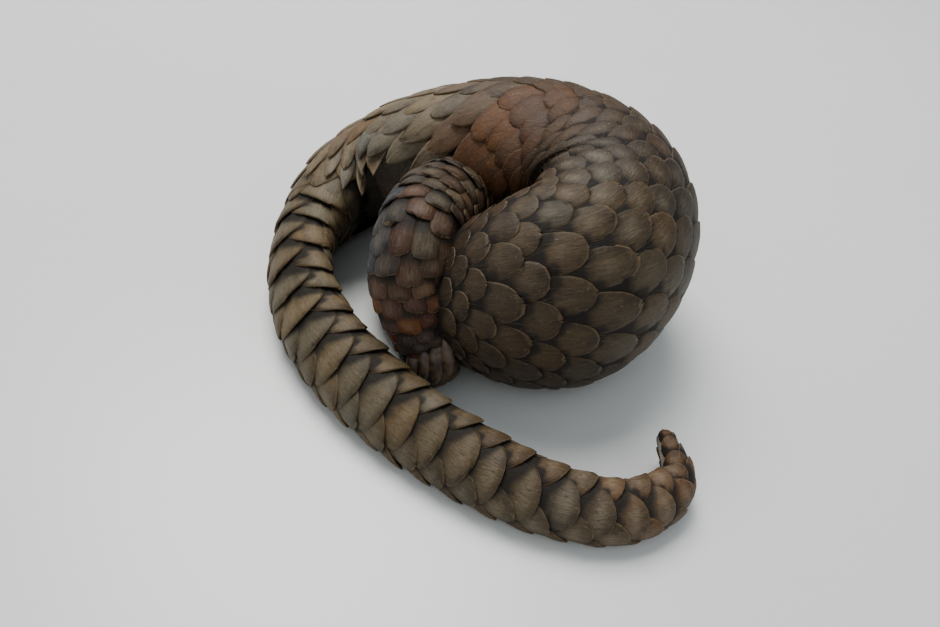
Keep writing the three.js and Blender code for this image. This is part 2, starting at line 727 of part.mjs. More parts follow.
function headSolid(grow = 0) {
  const [, from, to] = BODY_LENGTHS[0];
  const bare = bodyLength(headCoat, -SNOUT_DOME, to, grow);
  const eyes = [eyeAt(body, 1), eyeAt(body, -1)];
  const head = Manifold.union([bare, ...eyes.map(lidSolid)]);
  if (grow > 0) {
    const ears = [earSolid(body, 1, grow), earSolid(body, -1, grow)];
    return Manifold.union([head, ...ears]).trimByPlane(...planeAt(body, to, -1, -grow));
  }
  const cuts = [
    ...eyes.map((eye) => eyeball(eye, MEETING_GAP)),
    ...eyes.map(lidOpening),
    earSolid(body, 1, MEETING_GAP),
    earSolid(body, -1, MEETING_GAP),
    nostrilSolid(body, 1),
    nostrilSolid(body, -1),
    mouthSolid(body, 1),
    mouthSolid(body, -1),
  ];
  return parted(head, body, from, to).subtract(Manifold.union(cuts));
}

// The legs: the lengths that each one is parted into, its coat and its claws
const LEGS = [
  {
    lengths: [['foreleg_right', 0, 2.3], ['forefoot_right', 2.3, 4]],
    limb: foreRight,
    coat: legCoat(foreRight, { count: 8, pitch: [[0, 17], [3, 13], [4, 7]], height: 1.8, toeFrom: 3.3 }),
    claws: footClaws(foreRight, 4, [14, 24, 28, 22, 13], {
      radius: 4, spread: 8.5, bendTo: [-1, -0.6, 0], fan: 0.2,
    }),
  },
  {
    lengths: [['foreleg_left', 0, 1.8], ['forefoot_left', 1.8, 3]],
    limb: foreLeft,
    coat: legCoat(foreLeft, { count: 8, pitch: [[0, 17], [3, 9]], height: 1.7, toeFrom: 2.3 }),
    claws: footClaws(foreLeft, 3, [9, 15, 18, 14, 9], {
      radius: 3, spread: 6, bendTo: [0, -0.6, -1], fan: 0.2,
    }),
  },
  {
    lengths: [['hindleg_right', 0, 3], ['hindshank_right', 3, 5.2], ['hindfoot_right', 5.2, 7]],
    limb: hindRight,
    coat: legCoat(hindRight, { count: 8, pitch: [[0, 28], [5, 24], [7, 13]], height: 2.6, toeFrom: 6.6 }),
    claws: footClaws(hindRight, 7, [12, 17, 19, 17, 12], {
      radius: 5, spread: 11, bendTo: [0.3, 0.4, -1], fan: 0.35,
    }),
  },
  {
    lengths: [['hindleg_left', 0, 1.9], ['hindfoot_left', 1.9, 3]],
    limb: hindLeft,
    coat: legCoat(hindLeft, { count: 8, pitch: [[0, 19], [2, 15], [3, 9]], height: 1.8, toeFrom: 2.4 }),
    claws: footClaws(hindLeft, 3, [9, 11, 12, 11, 9], {
      radius: 3, spread: 7, bendTo: [0, 0, -1], fan: 0.3,
    }),
  },
];

const wholeLeg = ({ limb, coat, claws }, grow = 0) => Manifold.union([
  coat.solid(-limb.domes[0], limb.total + limb.domes[1], grow),
  ...claws.map((claw) => clawSolid(claw, grow)),
]);

// Materials
const look = (color, roughness) => ({ color, roughness, metalness: 0 });
const LOOKS = {
  trunk: look(0x5a4e40, 0.62),
  tail: look(0x6f6250, 0.6),
  leg: look(0x5b5049, 0.62),
  head: look(0x75655a, 0.75),
  ear: look(0x8a7468, 0.8),
  eye: look(0x120d0a, 0.12),
};

function lookOf(name) {
  if (name.startsWith('tail')) return LOOKS.tail;
  if (name.startsWith('eye')) return LOOKS.eye;
  if (name.startsWith('ear')) return LOOKS.ear;
  if (name === 'head') return LOOKS.head;
  return /leg|shank|foot/.test(name) ? LOOKS.leg : LOOKS.trunk;
}

function meshFrom(name, solid) {
  const result = solid.getMesh();
  const geometry = new THREE.BufferGeometry();
  geometry.setAttribute('position', new THREE.BufferAttribute(result.vertProperties.slice(), 3));
  geometry.setIndex(new THREE.BufferAttribute(result.triVerts.slice(), 1));
  geometry.computeVertexNormals();
  const material = new THREE.MeshStandardMaterial({ ...lookOf(name), flatShading: true });
  const mesh = new THREE.Mesh(geometry, material);
  mesh.name = name;
  return mesh;
}

// The animal, node by node
const pangolin = new THREE.Group();
const place = (name, solid) => pangolin.add(meshFrom(name, finished(solid)));

place('head', headSolid());
for (const [name, from, to] of BODY_LENGTHS.slice(1)) {
  place(name, parted(bodyLength(coatOf(name), from, to), body, from, to));
}

for (const [side, sign] of [['right', 1], ['left', -1]]) {
  place(`eye_${side}`, eyeball(eyeAt(body, sign)));
  place(`ear_${side}`, earSolid(body, sign));
}

// Each leg is cut clear of the body, then of the legs laid before it.
let taken = Manifold.union([
  headSolid(MEETING_GAP),
  bodyLength(trunkCoat, 1.9, 5.2, MEETING_GAP),
  bodyLength(trunkCoat, 5, 7.4, MEETING_GAP),
  bodyLength(trunkCoat, 7.2, 9.5, MEETING_GAP),
  bodyLength(tailRootCoat, 9.5, 11, MEETING_GAP),
  bodyLength(tailCoat, 11, 15.8, MEETING_GAP),
]);
for (const leg of LEGS) {
  const whole = wholeLeg(leg).subtract(taken);
  for (const [name, from, to] of leg.lengths) place(name, parted(whole, leg.limb, from, to));
  taken = taken.add(wholeLeg(leg, MEETING_GAP));
}

export default pangolin;
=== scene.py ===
"""Dresses a Sunda pangolin that lies curled on its left side.

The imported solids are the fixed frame. One skin takes the place of the flesh nodes, and every
scale of the coat is a thin plate of horn laid on that skin, row by row, from the head to the
tip of the tail. Claws and eyes are pieces of their own. Sizes are in millimetres here
and turned into metres when a mesh is made.
"""
import logging
from dataclasses import dataclass
from enum import Enum
from typing import Callable, Optional, Sequence, Union

import bpy
import numpy as np
from mathutils import Matrix


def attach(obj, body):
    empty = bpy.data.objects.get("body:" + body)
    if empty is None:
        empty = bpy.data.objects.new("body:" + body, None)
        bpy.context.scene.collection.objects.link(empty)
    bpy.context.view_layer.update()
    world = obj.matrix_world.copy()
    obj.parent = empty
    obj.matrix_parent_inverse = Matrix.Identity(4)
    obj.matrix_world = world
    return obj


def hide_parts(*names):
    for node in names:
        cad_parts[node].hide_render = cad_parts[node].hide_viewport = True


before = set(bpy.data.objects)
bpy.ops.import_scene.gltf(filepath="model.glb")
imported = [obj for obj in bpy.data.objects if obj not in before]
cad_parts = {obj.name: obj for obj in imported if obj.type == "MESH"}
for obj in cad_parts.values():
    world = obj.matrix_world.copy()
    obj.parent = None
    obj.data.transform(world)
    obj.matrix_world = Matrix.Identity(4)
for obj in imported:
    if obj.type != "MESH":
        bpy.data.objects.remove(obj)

LOG = logging.getLogger("pangolin")
MM = 0.001
SEED = 4605
REST_POINT = np.array([16.0, 2.0, 0.0])
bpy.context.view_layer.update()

Table = Sequence[tuple[float, float]]
# What can go into a shader node: a link, a number, a vector or a linear colour
Value = Union[bpy.types.NodeSocket, float, Sequence[float], np.ndarray]
Sockets = Union[Sequence[Value], dict[Union[str, int], Value]]


def from_table(table: Table, place: np.ndarray) -> np.ndarray:
    """Reads a short table of (place, value) pairs by straight lines between them.

    Args:
        table: the pairs, in order of place.
        place: where to read, of any shape.

    Returns:
        The values, of the same shape as place.
    """
    return np.interp(place, [row[0] for row in table], [row[1] for row in table])


def linear(hexcode: str) -> np.ndarray:
    """Turns an sRGB hex colour such as '#6b5a44' into linear red, green and blue."""
    srgb = np.array([int(hexcode[i:i + 2], 16) for i in (1, 3, 5)]) / 255.0
    return np.where(srgb <= 0.04045, srgb / 12.92, ((srgb + 0.055) / 1.055) ** 2.4)


def unit(vectors: np.ndarray) -> np.ndarray:
    """Scales vectors along the last axis to length one."""
    return vectors / np.linalg.norm(vectors, axis=-1, keepdims=True)


def smooth_step(low: float, high: float, value: np.ndarray) -> np.ndarray:
    """Rises smoothly from 0 at low to 1 at high."""
    share = np.clip((value - low) / (high - low), 0.0, 1.0)
    return share * share * (3.0 - 2.0 * share)


def bell(value: np.ndarray, middle: float, width: float) -> np.ndarray:
    """A bell curve: e to the minus square of the distance from the middle over the width."""
    return np.exp(-((value - middle) / width) ** 2)


def side_angle(angle: np.ndarray) -> np.ndarray:
    """Degrees from the dorsal line, from -180 to 180, more than nought on the right side."""
    return np.mod(angle + 180.0, 360.0) - 180.0


def from_dorsal(angle: np.ndarray) -> np.ndarray:
    """How many degrees an angle lies from the dorsal line, either way."""
    return np.abs(side_angle(angle))


# The limbs: centre lines with oval cross-sections

@dataclass
class Limb:
    """A smooth centre line with an oval cross-section that changes along it.

    Each station holds the centre, the half sizes towards the dorsal, ventral, right and left
    side, a roll about the limb in degrees, and how far a fold of flesh fills the quarter
    between the right and the ventral side. Values between stations follow a uniform
    Catmull-Rom curve: half of 2b + (c-a)u + (2a-5b+4c-d)u^2 + (3b-a-3c+d)u^3.
    """

    stations: Sequence[Sequence[float]]
    outer: Optional[Sequence[float]] = None
    start_dome: float = 4.0
    end_dome: float = 4.0

    def __post_init__(self) -> None:
        """Measures the centre line in steps of a fortieth of a station."""
        rows = np.array([list(row) + [0.0] * (9 - len(row)) for row in self.stations])
        rows[:, :3] -= REST_POINT
        first = 2 * rows[0] - rows[1]
        final = 2 * rows[-1] - rows[-2]
        self.rows = np.vstack([first, rows, final])
        self.last = len(rows) - 1
        self.table_t = np.linspace(0, self.last, self.last * 40 + 1)
        centres = self.values(self.table_t)[:, :3]
        steps = np.linalg.norm(np.diff(centres, axis=0), axis=1)
        self.table_length = np.concatenate([[0.0], np.cumsum(steps)])
        self.total = float(self.table_length[-1])

    def values(self, t: np.ndarray) -> np.ndarray:
        """All nine station values at places along the limb.

        Args:
            t: the places, counted in stations.

        Returns:
            The values, on a new last axis.
        """
        t = np.asarray(t, dtype=float)
        i = np.clip(np.floor(t).astype(int), 0, self.last - 1)
        u = (t - i)[..., None]
        a, b, c, d = (self.rows[i + k] for k in range(4))
        return 0.5 * (2 * b + (c - a) * u + (2 * a - 5 * b + 4 * c - d) * u**2
                      + (3 * b - a - 3 * c + d) * u**3)

    def frame(self, t: np.ndarray) -> tuple[np.ndarray, ...]:
        """The limb's centre and directions at places along it.

        The direction along is the difference of two near centres. The dorsal side is the outer
        direction less its part along the limb, or level where there is none, turned by the roll.
        The right side lies square to both.

        Args:
            t: the places, counted in stations.

        Returns:
            The centre, the direction along, the dorsal and right sides, then half sizes and fold.
        """
        t = np.asarray(t, dtype=float)
        values = self.values(t)
        ahead = self.values(np.minimum(t + 1e-3, self.last))[..., :3]
        behind = self.values(np.maximum(t - 1e-3, 0))[..., :3]
        along = unit(ahead - behind)
        if self.outer is None:
            level = np.cross(along, [0.0, 0.0, 1.0])
        else:
            outer = np.array(self.outer)
            level = outer - along * (along @ outer)[..., None]
        level = unit(level)
        upper = np.cross(level, along)
        roll = np.radians(values[..., 7:8])
        dorsal = level * np.cos(roll) + upper * np.sin(roll)
        right = upper * np.cos(roll) - level * np.sin(roll)
        return values[..., :3], along, dorsal, right, values[..., [3, 4, 5, 6, 8]]

    def place_at(self, length: np.ndarray) -> np.ndarray:
        """The place t at a length along the centre line."""
        return np.interp(length, self.table_length, self.table_t)

    def length_at(self, t: float) -> float:
        """The length along the centre line at place t."""
        return float(np.interp(t, self.table_t, self.table_length))

    def spot(self, length: np.ndarray, angle: np.ndarray, lift: np.ndarray) -> np.ndarray:
        """Points on the limb: dorsal at angle 0, on its right side at 90 degrees.

        Beyond either end the cross-section shrinks as a dome, by the square root of one
        less the squared share of the dome that is used up. The fold moves the right ventral
        quarter out by twice its size times the sine and the cosine of the angle.

        Args:
            length: lengths along the centre line.
            angle: degrees round it.
            lift: how far outside the oval, negative for inside.

        Returns:
            Points with the shape of the broadcast inputs and a last axis of three.
        """
        length, angle, lift = np.broadcast_arrays(length, angle, lift)
        centre, along, dorsal, right, halves = self.frame(self.place_at(length))
        over = np.maximum(np.maximum(length - self.total, -length), 0.0)
        dome = np.where(length > 0, self.end_dome, self.start_dome)
        squeeze = np.sqrt(1.0 - np.minimum(over / dome, 0.999) ** 2)
        c, s = np.cos(np.radians(angle)), np.sin(np.radians(angle))
        deep = (np.where(c > 0, halves[..., 0], halves[..., 1]) + lift) * c * squeeze
        deep += halves[..., 4] * 2 * np.minimum(c, 0) * np.maximum(s, 0) * squeeze
        wide = (np.where(s > 0, halves[..., 2], halves[..., 3]) + lift) * s * squeeze
        move = np.where(length > 0, over, -over)[..., None] * along
        return centre + move + dorsal * deep[..., None] + right * wide[..., None]

    def axes(self, t: float, angle: float) -> tuple[np.ndarray, ...]:
        """A point of the limb's surface and the directions there.

        The directions along and round the limb are differences of near points, and the outward
        one is their cross product.

        Args:
            t: the place, counted in stations.
            angle: degrees round the limb.

        Returns:
            The point and its outward, lengthwise and crosswise directions.
        """
        length = self.length_at(t)
        here = self.spot(length, angle, 0.0)
        along = unit(self.spot(length + 1, angle, 0.0) - self.spot(length - 1, angle, 0.0))
        turn = unit(self.spot(length, angle + 2, 0.0) - self.spot(length, angle - 2, 0.0))
        outward = unit(np.cross(along, turn))
        return here, outward, along, np.cross(outward, along)

    def holds(self, points: np.ndarray, share: float, start: float, end: float) -> np.ndarray:
        """Finds the points inside the limb once its ovals are shrunk.

        A point is inside where it lies within 4 mm of a cross-section and its distance from the
        centre, each part divided by the half size on its side, is under the share.

        Args:
            points: the points, with a last axis of three.
            share: the share of their size that the ovals keep.
            start: the place where the stretch looked at starts.
            end: the place where it ends.

        Returns:
            True for each point inside.
        """
        inside = np.zeros(points.shape[:-1], dtype=bool)
        for t in np.arange(start, end + 0.01, 0.1):
            centre, along, dorsal, right, halves = self.frame(np.array(t))
            away = points - centre
            deep, wide = away @ dorsal, away @ right
            oval = np.hypot(deep / np.where(deep > 0, halves[0], halves[1]),
                            wide / np.where(wide > 0, halves[2], halves[3]))
            inside |= (np.abs(away @ along) < 4.0) & (oval < share)
        return inside


BODY = Limb([
    (-145, 18, 27, 7, 7, 8, 8), (-132, -10, 32, 20, 17, 22, 23), (-106, -30, 42, 31, 24, 32, 36),
    (-76, -38, 54, 44, 34, 47, 52, 4), (-44, -41, 65, 52, 40, 62, 66, 8, 4),
    (-12, -28, 72, 55, 38, 69, 75, 8, 12), (8, 12, 75, 56, 40, 74, 79, 8, 20),
    (-8, 54, 77, 56, 43, 74, 80, 10, 20), (-56, 84, 75, 52, 50, 70, 78, 16, 16),
    (-118, 92, 66, 44, 42, 58, 66, 26, 6), (-172, 78, 48, 35, 26, 42, 46, 26),
    (-194, 34, 34, 28, 15, 33, 34, 22), (-196, -14, 29, 19, 13, 28, 28, 30),
    (-174, -60, 24, 17, 12, 25, 25, 40), (-133, -102, 21, 16, 12, 24, 24, 45),
    (-82, -136, 19, 15, 11, 22, 22, 44), (-28, -159, 17, 15, 11, 19, 20, 42),
    (21, -162, 15, 14, 11, 16, 18, 38), (53, -140, 16, 12, 9, 13, 15, 24),
    (49, -112, 23, 6, 5, 6, 7, 10),
], start_dome=6.0, end_dome=5.0)

HIND_RIGHT = Limb([
    (-88, 66, 66, 27, 27, 27, 27), (-98, 34, 79, 27, 27, 27, 27), (-112, -3, 90, 26, 26, 27, 26),
    (-118, -38, 88, 25, 25, 26, 25), (-116, -56, 66, 23, 22, 24, 24),
    (-106, -65, 39, 17, 17, 20, 19), (-97, -72, 20, 13, 14, 17, 16), (-92, -74, 12, 9, 9, 13, 13),
], outer=(-0.25, -0.6, 0.75), end_dome=5.0)

HIND_LEFT = Limb([
    (-110, 66, 36, 20, 20, 20, 20), (-102, 38, 26, 17, 16, 16, 16),
    (-90, 22, 18, 12, 12, 12, 12), (-76, 14, 13, 8, 8, 9, 9),
], outer=(0.3, -0.4, 0.85))

FORE_RIGHT = Limb([
    (-42, -34, 78, 24, 24, 24, 24), (-78, -14, 72, 21, 20, 21, 21), (-90, 8, 55, 16, 15, 16, 16),
    (-95, 20, 43, 12, 12, 14, 14), (-97, 26, 34, 8, 8, 11, 11),
], outer=(-0.2, -0.35, 0.9))

FORE_LEFT = Limb([
    (-50, -24, 36, 18, 18, 18, 18), (-44, 6, 24, 15, 14, 14, 14), (-52, 20, 16, 11, 11, 11, 11),
    (-66, 25, 12, 7, 7, 9, 9),
], outer=(-0.3, 0.5, 0.8))

LEGS = {"hindleg_right": HIND_RIGHT, "hindleg_left": HIND_LEFT,
        "foreleg_right": FORE_RIGHT, "foreleg_left": FORE_LEFT}

# Where each limb's skin lies on the shared unwrap: lowest and highest height of its band
UNWRAP_BANDS = {"body": (0.0, 0.6), "hindleg_right": (0.62, 0.72), "hindleg_left": (0.73, 0.8),
                "foreleg_right": (0.81, 0.89), "foreleg_left": (0.9, 0.98)}
UNWRAP_START, UNWRAP_WIDTH = 0.02, 0.95
# The side of the square of the unwrap that one scale or hair bakes to
PATCH = 0.003


# Meshes

@dataclass
class Sheet:
    """Vertices, four-sided faces and what the finishes read from them."""

    points: np.ndarray
    quads: np.ndarray
    uv: Optional[np.ndarray] = None
    bake: Optional[np.ndarray] = None
    tint: Optional[np.ndarray] = None
    plate: Optional[np.ndarray] = None

    @staticmethod
    def joined(sheets: Sequence["Sheet"]) -> "Sheet":
        """Puts several sheets into one, with the face numbers moved on.

        Args:
            sheets: the sheets, in order.

        Returns:
            One sheet, without the maps that any of them lacks.
        """
        offsets = np.cumsum([0] + [len(sheet.points) for sheet in sheets[:-1]])
        stacked = {}
        for name in ("points", "uv", "bake", "tint", "plate"):
            parts = [getattr(sheet, name) for sheet in sheets]
            stacked[name] = None if any(p is None for p in parts) else np.concatenate(parts)
        quads = np.concatenate([s.quads + o for s, o in zip(sheets, offsets)])
        return Sheet(quads=quads, **stacked)


def grid_quads(rows: int, columns: int, closed: bool = False) -> np.ndarray:
    """Faces of a grid of points numbered row by row.

    Args:
        rows: how many rows it has.
        columns: how many points a row has.
        closed: whether the last column joins the first.

    Returns:
        Four point numbers a face.
    """
    across = columns if closed else columns - 1
    r, c = np.meshgrid(np.arange(rows - 1), np.arange(across), indexing="ij")
    nxt = (c + 1) % columns
    corners = (r * columns + c, (r + 1) * columns + c, (r + 1) * columns + nxt, r * columns + nxt)
    return np.stack(corners, -1).reshape(-1, 4)


def tube(points: np.ndarray) -> Sheet:
    """A closed tube over rings of points, with its first and last ring shrunk to a pole.

    Args:
        points: the rings, by ring, point and axis.

    Returns:
        The tube as a sheet.
    """
    start = np.broadcast_to(points[:1].mean(axis=1, keepdims=True), points[:1].shape)
    end = np.broadcast_to(points[-1:].mean(axis=1, keepdims=True), points[-1:].shape)
    rings = np.concatenate([start * 0.98 + points[:1] * 0.02, points, end * 0.98 + points[-1:] * 0.02])
    return Sheet(rings.reshape(-1, 3), grid_quads(rings.shape[0], rings.shape[1], closed=True))


def make_piece(name: str, sheet: Sheet, material: bpy.types.Material) -> bpy.types.Object:
    """Makes one object from a sheet, in metres, smooth, pressed flat where it meets the floor.

    Args:
        name: the object's name.
        sheet: its points in millimetres, faces, and maps.
        material: its finish.

    Returns:
        The object, linked into the scene.
    """
    mesh = bpy.data.meshes.new(name)
    count, faces = len(sheet.points), len(sheet.quads)
    mesh.vertices.add(count)
    mesh.loops.add(faces * 4)
    mesh.polygons.add(faces)
    resting = np.maximum(sheet.points, [-np.inf, -np.inf, 0.0])
    mesh.vertices.foreach_set("co", (resting * MM).astype(np.float32).ravel())
    mesh.loops.foreach_set("vertex_index", sheet.quads.astype(np.int32).ravel())
    mesh.polygons.foreach_set("loop_start", np.arange(0, faces * 4, 4, dtype=np.int32))
    mesh.polygons.foreach_set("use_smooth", np.ones(faces, dtype=bool))
    corner = sheet.quads.ravel()
    for label, values in (("OFBake", sheet.bake), ("ScaleMap", sheet.uv)):
        if values is not None:
            layer = mesh.uv_layers.new(name=label)
            layer.uv.foreach_set("vector", values[corner].astype(np.float32).ravel())
    if sheet.tint is not None:
        colours = np.column_stack([sheet.tint, np.ones(count)]).astype(np.float32)
        mesh.attributes.new("Tint", "FLOAT_COLOR", "POINT").data.foreach_set("color", colours.ravel())
    if sheet.plate is not None:
        values = sheet.plate.astype(np.float32).ravel()
        mesh.attributes.new("Plate", "FLOAT_COLOR", "POINT").data.foreach_set("color", values)
    mesh.update(calc_edges=True)
    mesh.validate()
    piece = bpy.data.objects.new(name, mesh)
    bpy.context.scene.collection.objects.link(piece)
    mesh.materials.append(material)
    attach(piece, "root")
    LOG.info("%s: %d faces", name, faces)
    return piece


def unwrap(band: str, limb: Limb, length: np.ndarray, angle: np.ndarray) -> np.ndarray:
    """Lays a limb's skin out flat in its band of the unwrap.

    The share of the limb's length runs across, and the share of a turn runs up the band.

    Args:
        band: the name of the band.
        limb: the limb.
        length: lengths along its centre line.
        angle: degrees round it.

    Returns:
        Places on the unwrap, with a last axis of two.
    """
    low, high = UNWRAP_BANDS[band]
    across = np.mod(angle + 180.0, 360.0) / 360.0
    share = np.clip(length / limb.total, 0, 1)
    return np.stack([UNWRAP_START + UNWRAP_WIDTH * share, low + (high - low) * across], -1)


# Scales

@dataclass
class ScaleRows:
    """Rows of overlapping scales on one stretch of a limb.

    Every second column lies half a pitch on. A scale is a grid of u, from its root to its
    tip, and v, from side to side. Past its widest place its half width follows a
    superellipse, |v|^p + past^p = 1, and before it a gentle curve. Its top rises with u, with
    a dome across it, and its rim turns down and shows one thickness of horn.
    """

    band: str
    limb: Limb
    angles: Sequence[float]
    start: float
    end: float
    pitch: Table
    tint: Callable[[np.ndarray, np.ndarray, np.random.Generator], np.ndarray]
    overlap: float = 1.4
    share: Table = ((0.0, 1.03),)
    lift: Table = ((0.0, 2.6),)
    dome: float = 1.5
    thickness: float = 1.2
    widest: float = 0.5
    root_width: float = 0.66
    power: Callable[[np.ndarray, np.ndarray], np.ndarray] = lambda t, a: np.full_like(t, 2.2)
    stand: Callable[[np.ndarray, np.ndarray], np.ndarray] = lambda t, a: np.zeros_like(t)
    skew: Callable[[np.ndarray, np.ndarray], np.ndarray] = lambda t, a: np.zeros_like(t)
    scuff_and_sheen: Callable[[np.ndarray, np.ndarray], np.ndarray] = lambda t, a: np.full_like(t, 0.2)
    keep: Callable[[np.ndarray, np.ndarray, np.ndarray], np.ndarray] = lambda t, a, p: t > -1
    jitter: float = 1.0
    place_scatter: float = 0.05
    size_scatter: float = 0.06
    root_sunk: float = 0.7
    rim_droop: float = 0.35
    turned_bare: float = 0.26
    full_pitch: float = 18.0
    mask_reach: float = 10.0
    seed: int = SEED
    u_steps: tuple[float, ...] = (0.0, 0.3, 0.5, 0.66, 0.8, 0.91, 0.975, 1.0)
    v_steps: tuple[float, ...] = (-1.0, -0.86, -0.56, -0.2, 0.2, 0.56, 0.86, 1.0)

    def marks(self) -> np.ndarray:
        """Half-row marks along the limb, each half a pitch past the one before.

        Returns:
            Lengths along the centre line.
        """
        found = [self.start]
        while found[-1] < self.end:
            t = float(self.limb.place_at(found[-1]))
            found.append(found[-1] + float(from_table(self.pitch, t)) / 2)
        return np.array(found)

    def seats(self) -> dict[str, np.ndarray]:
        """Finds where every kept scale sits, its size, and its own random draws.

        A scale sits where the numbers of its mark and its column are both even or both odd, so
        its neighbours are two columns off and its half angle is about the gap between columns.

        Returns:
            Arrays by name, with one entry a scale.
        """
        marks = self.marks()
        k, j = np.meshgrid(np.arange(len(marks)), np.arange(len(self.angles)), indexing="ij")
        paired = (k + j) % 2 == 0
        k, j = k[paired], j[paired]
        rng = np.random.default_rng(self.seed)
        draws = rng.uniform(-1, 1, (len(k), 10)) * self.jitter
        angles = np.array(self.angles, dtype=float)
        ahead = np.mod(np.roll(angles, -1) - angles, 360)
        spacing = (ahead + np.roll(ahead, 1)) / 2
        place = self.limb.place_at(marks[k])
        pitch = from_table(self.pitch, place)
        root = marks[k] + self.place_scatter * pitch * draws[:, 0]
        angle = angles[j] + self.size_scatter * spacing[j] * draws[:, 1]
        middle = self.limb.spot(root + 0.8 * pitch, angle, 1.5)
        kept = self.keep(place, angle, middle)
        return {key: value[kept] for key, value in {
            "t": place, "root": root, "angle": angle, "draws": draws, "pitch": pitch,
            "half": spacing[j] * from_table(self.share, place) * (1 + self.size_scatter * draws[:, 2]),
            "long": pitch * self.overlap * (1 + self.size_scatter * draws[:, 3]),
        }.items()}

    def build(self) -> Sheet:
        """Makes every scale of these rows as one sheet.

        The top of a scale lies at its lift times u less the sunk root, with a swell of
        1 - |v|^2.2 across it, and droops by the eighth power of the way out to its rim. The plate
        mask holds how far a point lies out from its neighbours, which places dirt and painted shade,
        how far it is from the free edge, the scale's own draw and its rubbing and painted sheen.

        Returns:
            The sheet with its maps and tints.
        """
        seat = self.seats()
        count = len(seat["t"])
        u = np.array(self.u_steps)[None, :, None]
        v = np.array(self.v_steps)[None, None, :]
        draws = seat["draws"][:, :, None, None]
        power = self.power(seat["t"], seat["angle"])[:, None, None]
        past = np.clip((u - self.widest) / (1 - self.widest), 0, 0.9995)
        before = np.clip((self.widest - u) / self.widest, 0, 1)
        width = np.where(u > self.widest, (1 - past**power) ** (1 / power),
                         1 - (1 - self.root_width) * before**1.5)
        across = v * width
        radius = np.minimum((np.abs(across) ** power + past**power) ** (1 / power), 1)
        chip = 0.03 * draws[:, 8] * np.sin(5.0 * v + 4.0 * draws[:, 9]) * past
        skew = self.skew(seat["t"], seat["angle"])[:, None, None]
        long = seat["long"][:, None, None]
        half = seat["half"][:, None, None]
        angle = seat["angle"][:, None, None] + half * (across + 0.06 * draws[:, 4] * u) + skew * u
        length = seat["root"][:, None, None] + long * (
            u - 0.03 * across**2 * u + 0.035 * draws[:, 5] * across * u + chip)
        small = np.minimum(1.0, seat["pitch"][:, None, None] / self.full_pitch)
        lift = from_table(self.lift, seat["t"])[:, None, None] * (1 + 0.18 * draws[:, 6])
        stand = self.stand(seat["t"], seat["angle"])[:, None, None]
        swell = self.dome * small * (1 - np.abs(across) ** 2.2) * (0.35 + 0.65 * u) * (1 - 0.4 * past**4)
        top = lift * u - self.root_sunk + swell + stand * u**2 - self.rim_droop * small * radius**8
        thick = self.thickness * small * (1 - 0.3 * radius**8)
        upper = self.limb.spot(length, angle, top)
        under = self.limb.spot(length, angle, top - thick)
        rim = under.reshape(count, -1, 3)[:, self.edge_loop()]
        points = np.concatenate([upper.reshape(count, -1, 3), rim], axis=1)
        first = np.arange(count) * points.shape[1]
        quads = (self.plate_quads()[None] + first[:, None, None]).reshape(-1, 4)
        wide = self.half_width(seat)[:, None, None]
        # A row that turns aside uncovers more of the scales behind it
        bared = self.turned_bare * np.minimum(np.abs(skew / half), 1)
        out = (u - self.covered(across, power) + bared) * long
        edge = (1 - radius) * wide
        plate = np.stack(np.broadcast_arrays(
            np.clip(out / self.mask_reach, 0, 1), np.clip(edge / self.mask_reach, 0, 1),
            0.5 + 0.5 * draws[:, 7], self.scuff_and_sheen(seat["t"], seat["angle"])[:, None, None]), -1)
        offset = np.stack([draws[:, 7] * 3.1, draws[:, 9] * 2.3], -1)
        uv = np.stack(np.broadcast_arrays(u * long * MM, across * wide * MM), -1) + offset
        rooted = unwrap(self.band, self.limb, seat["root"], seat["angle"])[:, None, None, :]
        patch = rooted + np.stack(np.broadcast_arrays(u - 0.5, across * 0.5), -1) * PATCH
        rng = np.random.default_rng(self.seed + 1)
        colour = self.tint(seat["t"], seat["angle"], rng)[:, None, None, :]
        colour = np.broadcast_to(colour, (count, len(self.u_steps), len(self.v_steps), 3))
        return Sheet(points.reshape(-1, 3), quads, self.doubled(uv), self.doubled(patch),
                     self.doubled(colour), self.doubled(plate))

    def half_width(self, seat: dict[str, np.ndarray]) -> np.ndarray:
        """Half widths of the scales, measured on the limb's surface.

        It is the straight distance between points a quarter of the width off on either side.

        Args:
            seat: where the scales sit, and their sizes.

        Returns:
            Millimetres, with one entry a scale.
        """
        middle = seat["root"] + seat["long"] / 2
        one = self.limb.spot(middle, seat["angle"] - seat["half"] / 2, 0.0)
        other = self.limb.spot(middle, seat["angle"] + seat["half"] / 2, 0.0)
        return np.linalg.norm(one - other, axis=-1)

    def covered(self, across: np.ndarray, power: np.ndarray) -> np.ndarray:
        """How far along a scale the ones nearer the head lie over it, as a share of its length.

        The free edge of a scale lies at widest + (1 - widest)(1 - |v|^p)^(1/p). The scale
        before it in its column lies one pitch away, and those at either side half a pitch.

        Args:
            across: places across the scale, -1 to 1.
            power: the exponent p of its outline.

        Returns:
            The greater share that either of them covers.
        """
        def free_edge(v: np.ndarray) -> np.ndarray:
            """The free edge's share of the length at a place across."""
            return self.widest + (1 - self.widest) * (1 - np.clip(v, 0, 1) ** power) ** (1 / power)

        before = free_edge(np.abs(across)) - 1 / self.overlap
        beside = free_edge(1 - np.abs(across)) - 0.5 / self.overlap
        return np.maximum(before, beside)

    def edge_loop(self) -> np.ndarray:
        """Numbers of the points round the rim of the grid, in order."""
        index = np.arange(len(self.u_steps) * len(self.v_steps)).reshape(len(self.u_steps), -1)
        return np.concatenate([index[:-1, 0], index[-1, :-1], index[:0:-1, -1], index[0, :0:-1]])

    def doubled(self, values: np.ndarray) -> np.ndarray:
        """Repeats values on the grid for the points of the underside's rim."""
        flat = values.reshape(values.shape[0], -1, values.shape[-1])
        return np.concatenate([flat, flat[:, self.edge_loop()]], axis=1).reshape(-1, values.shape[-1])

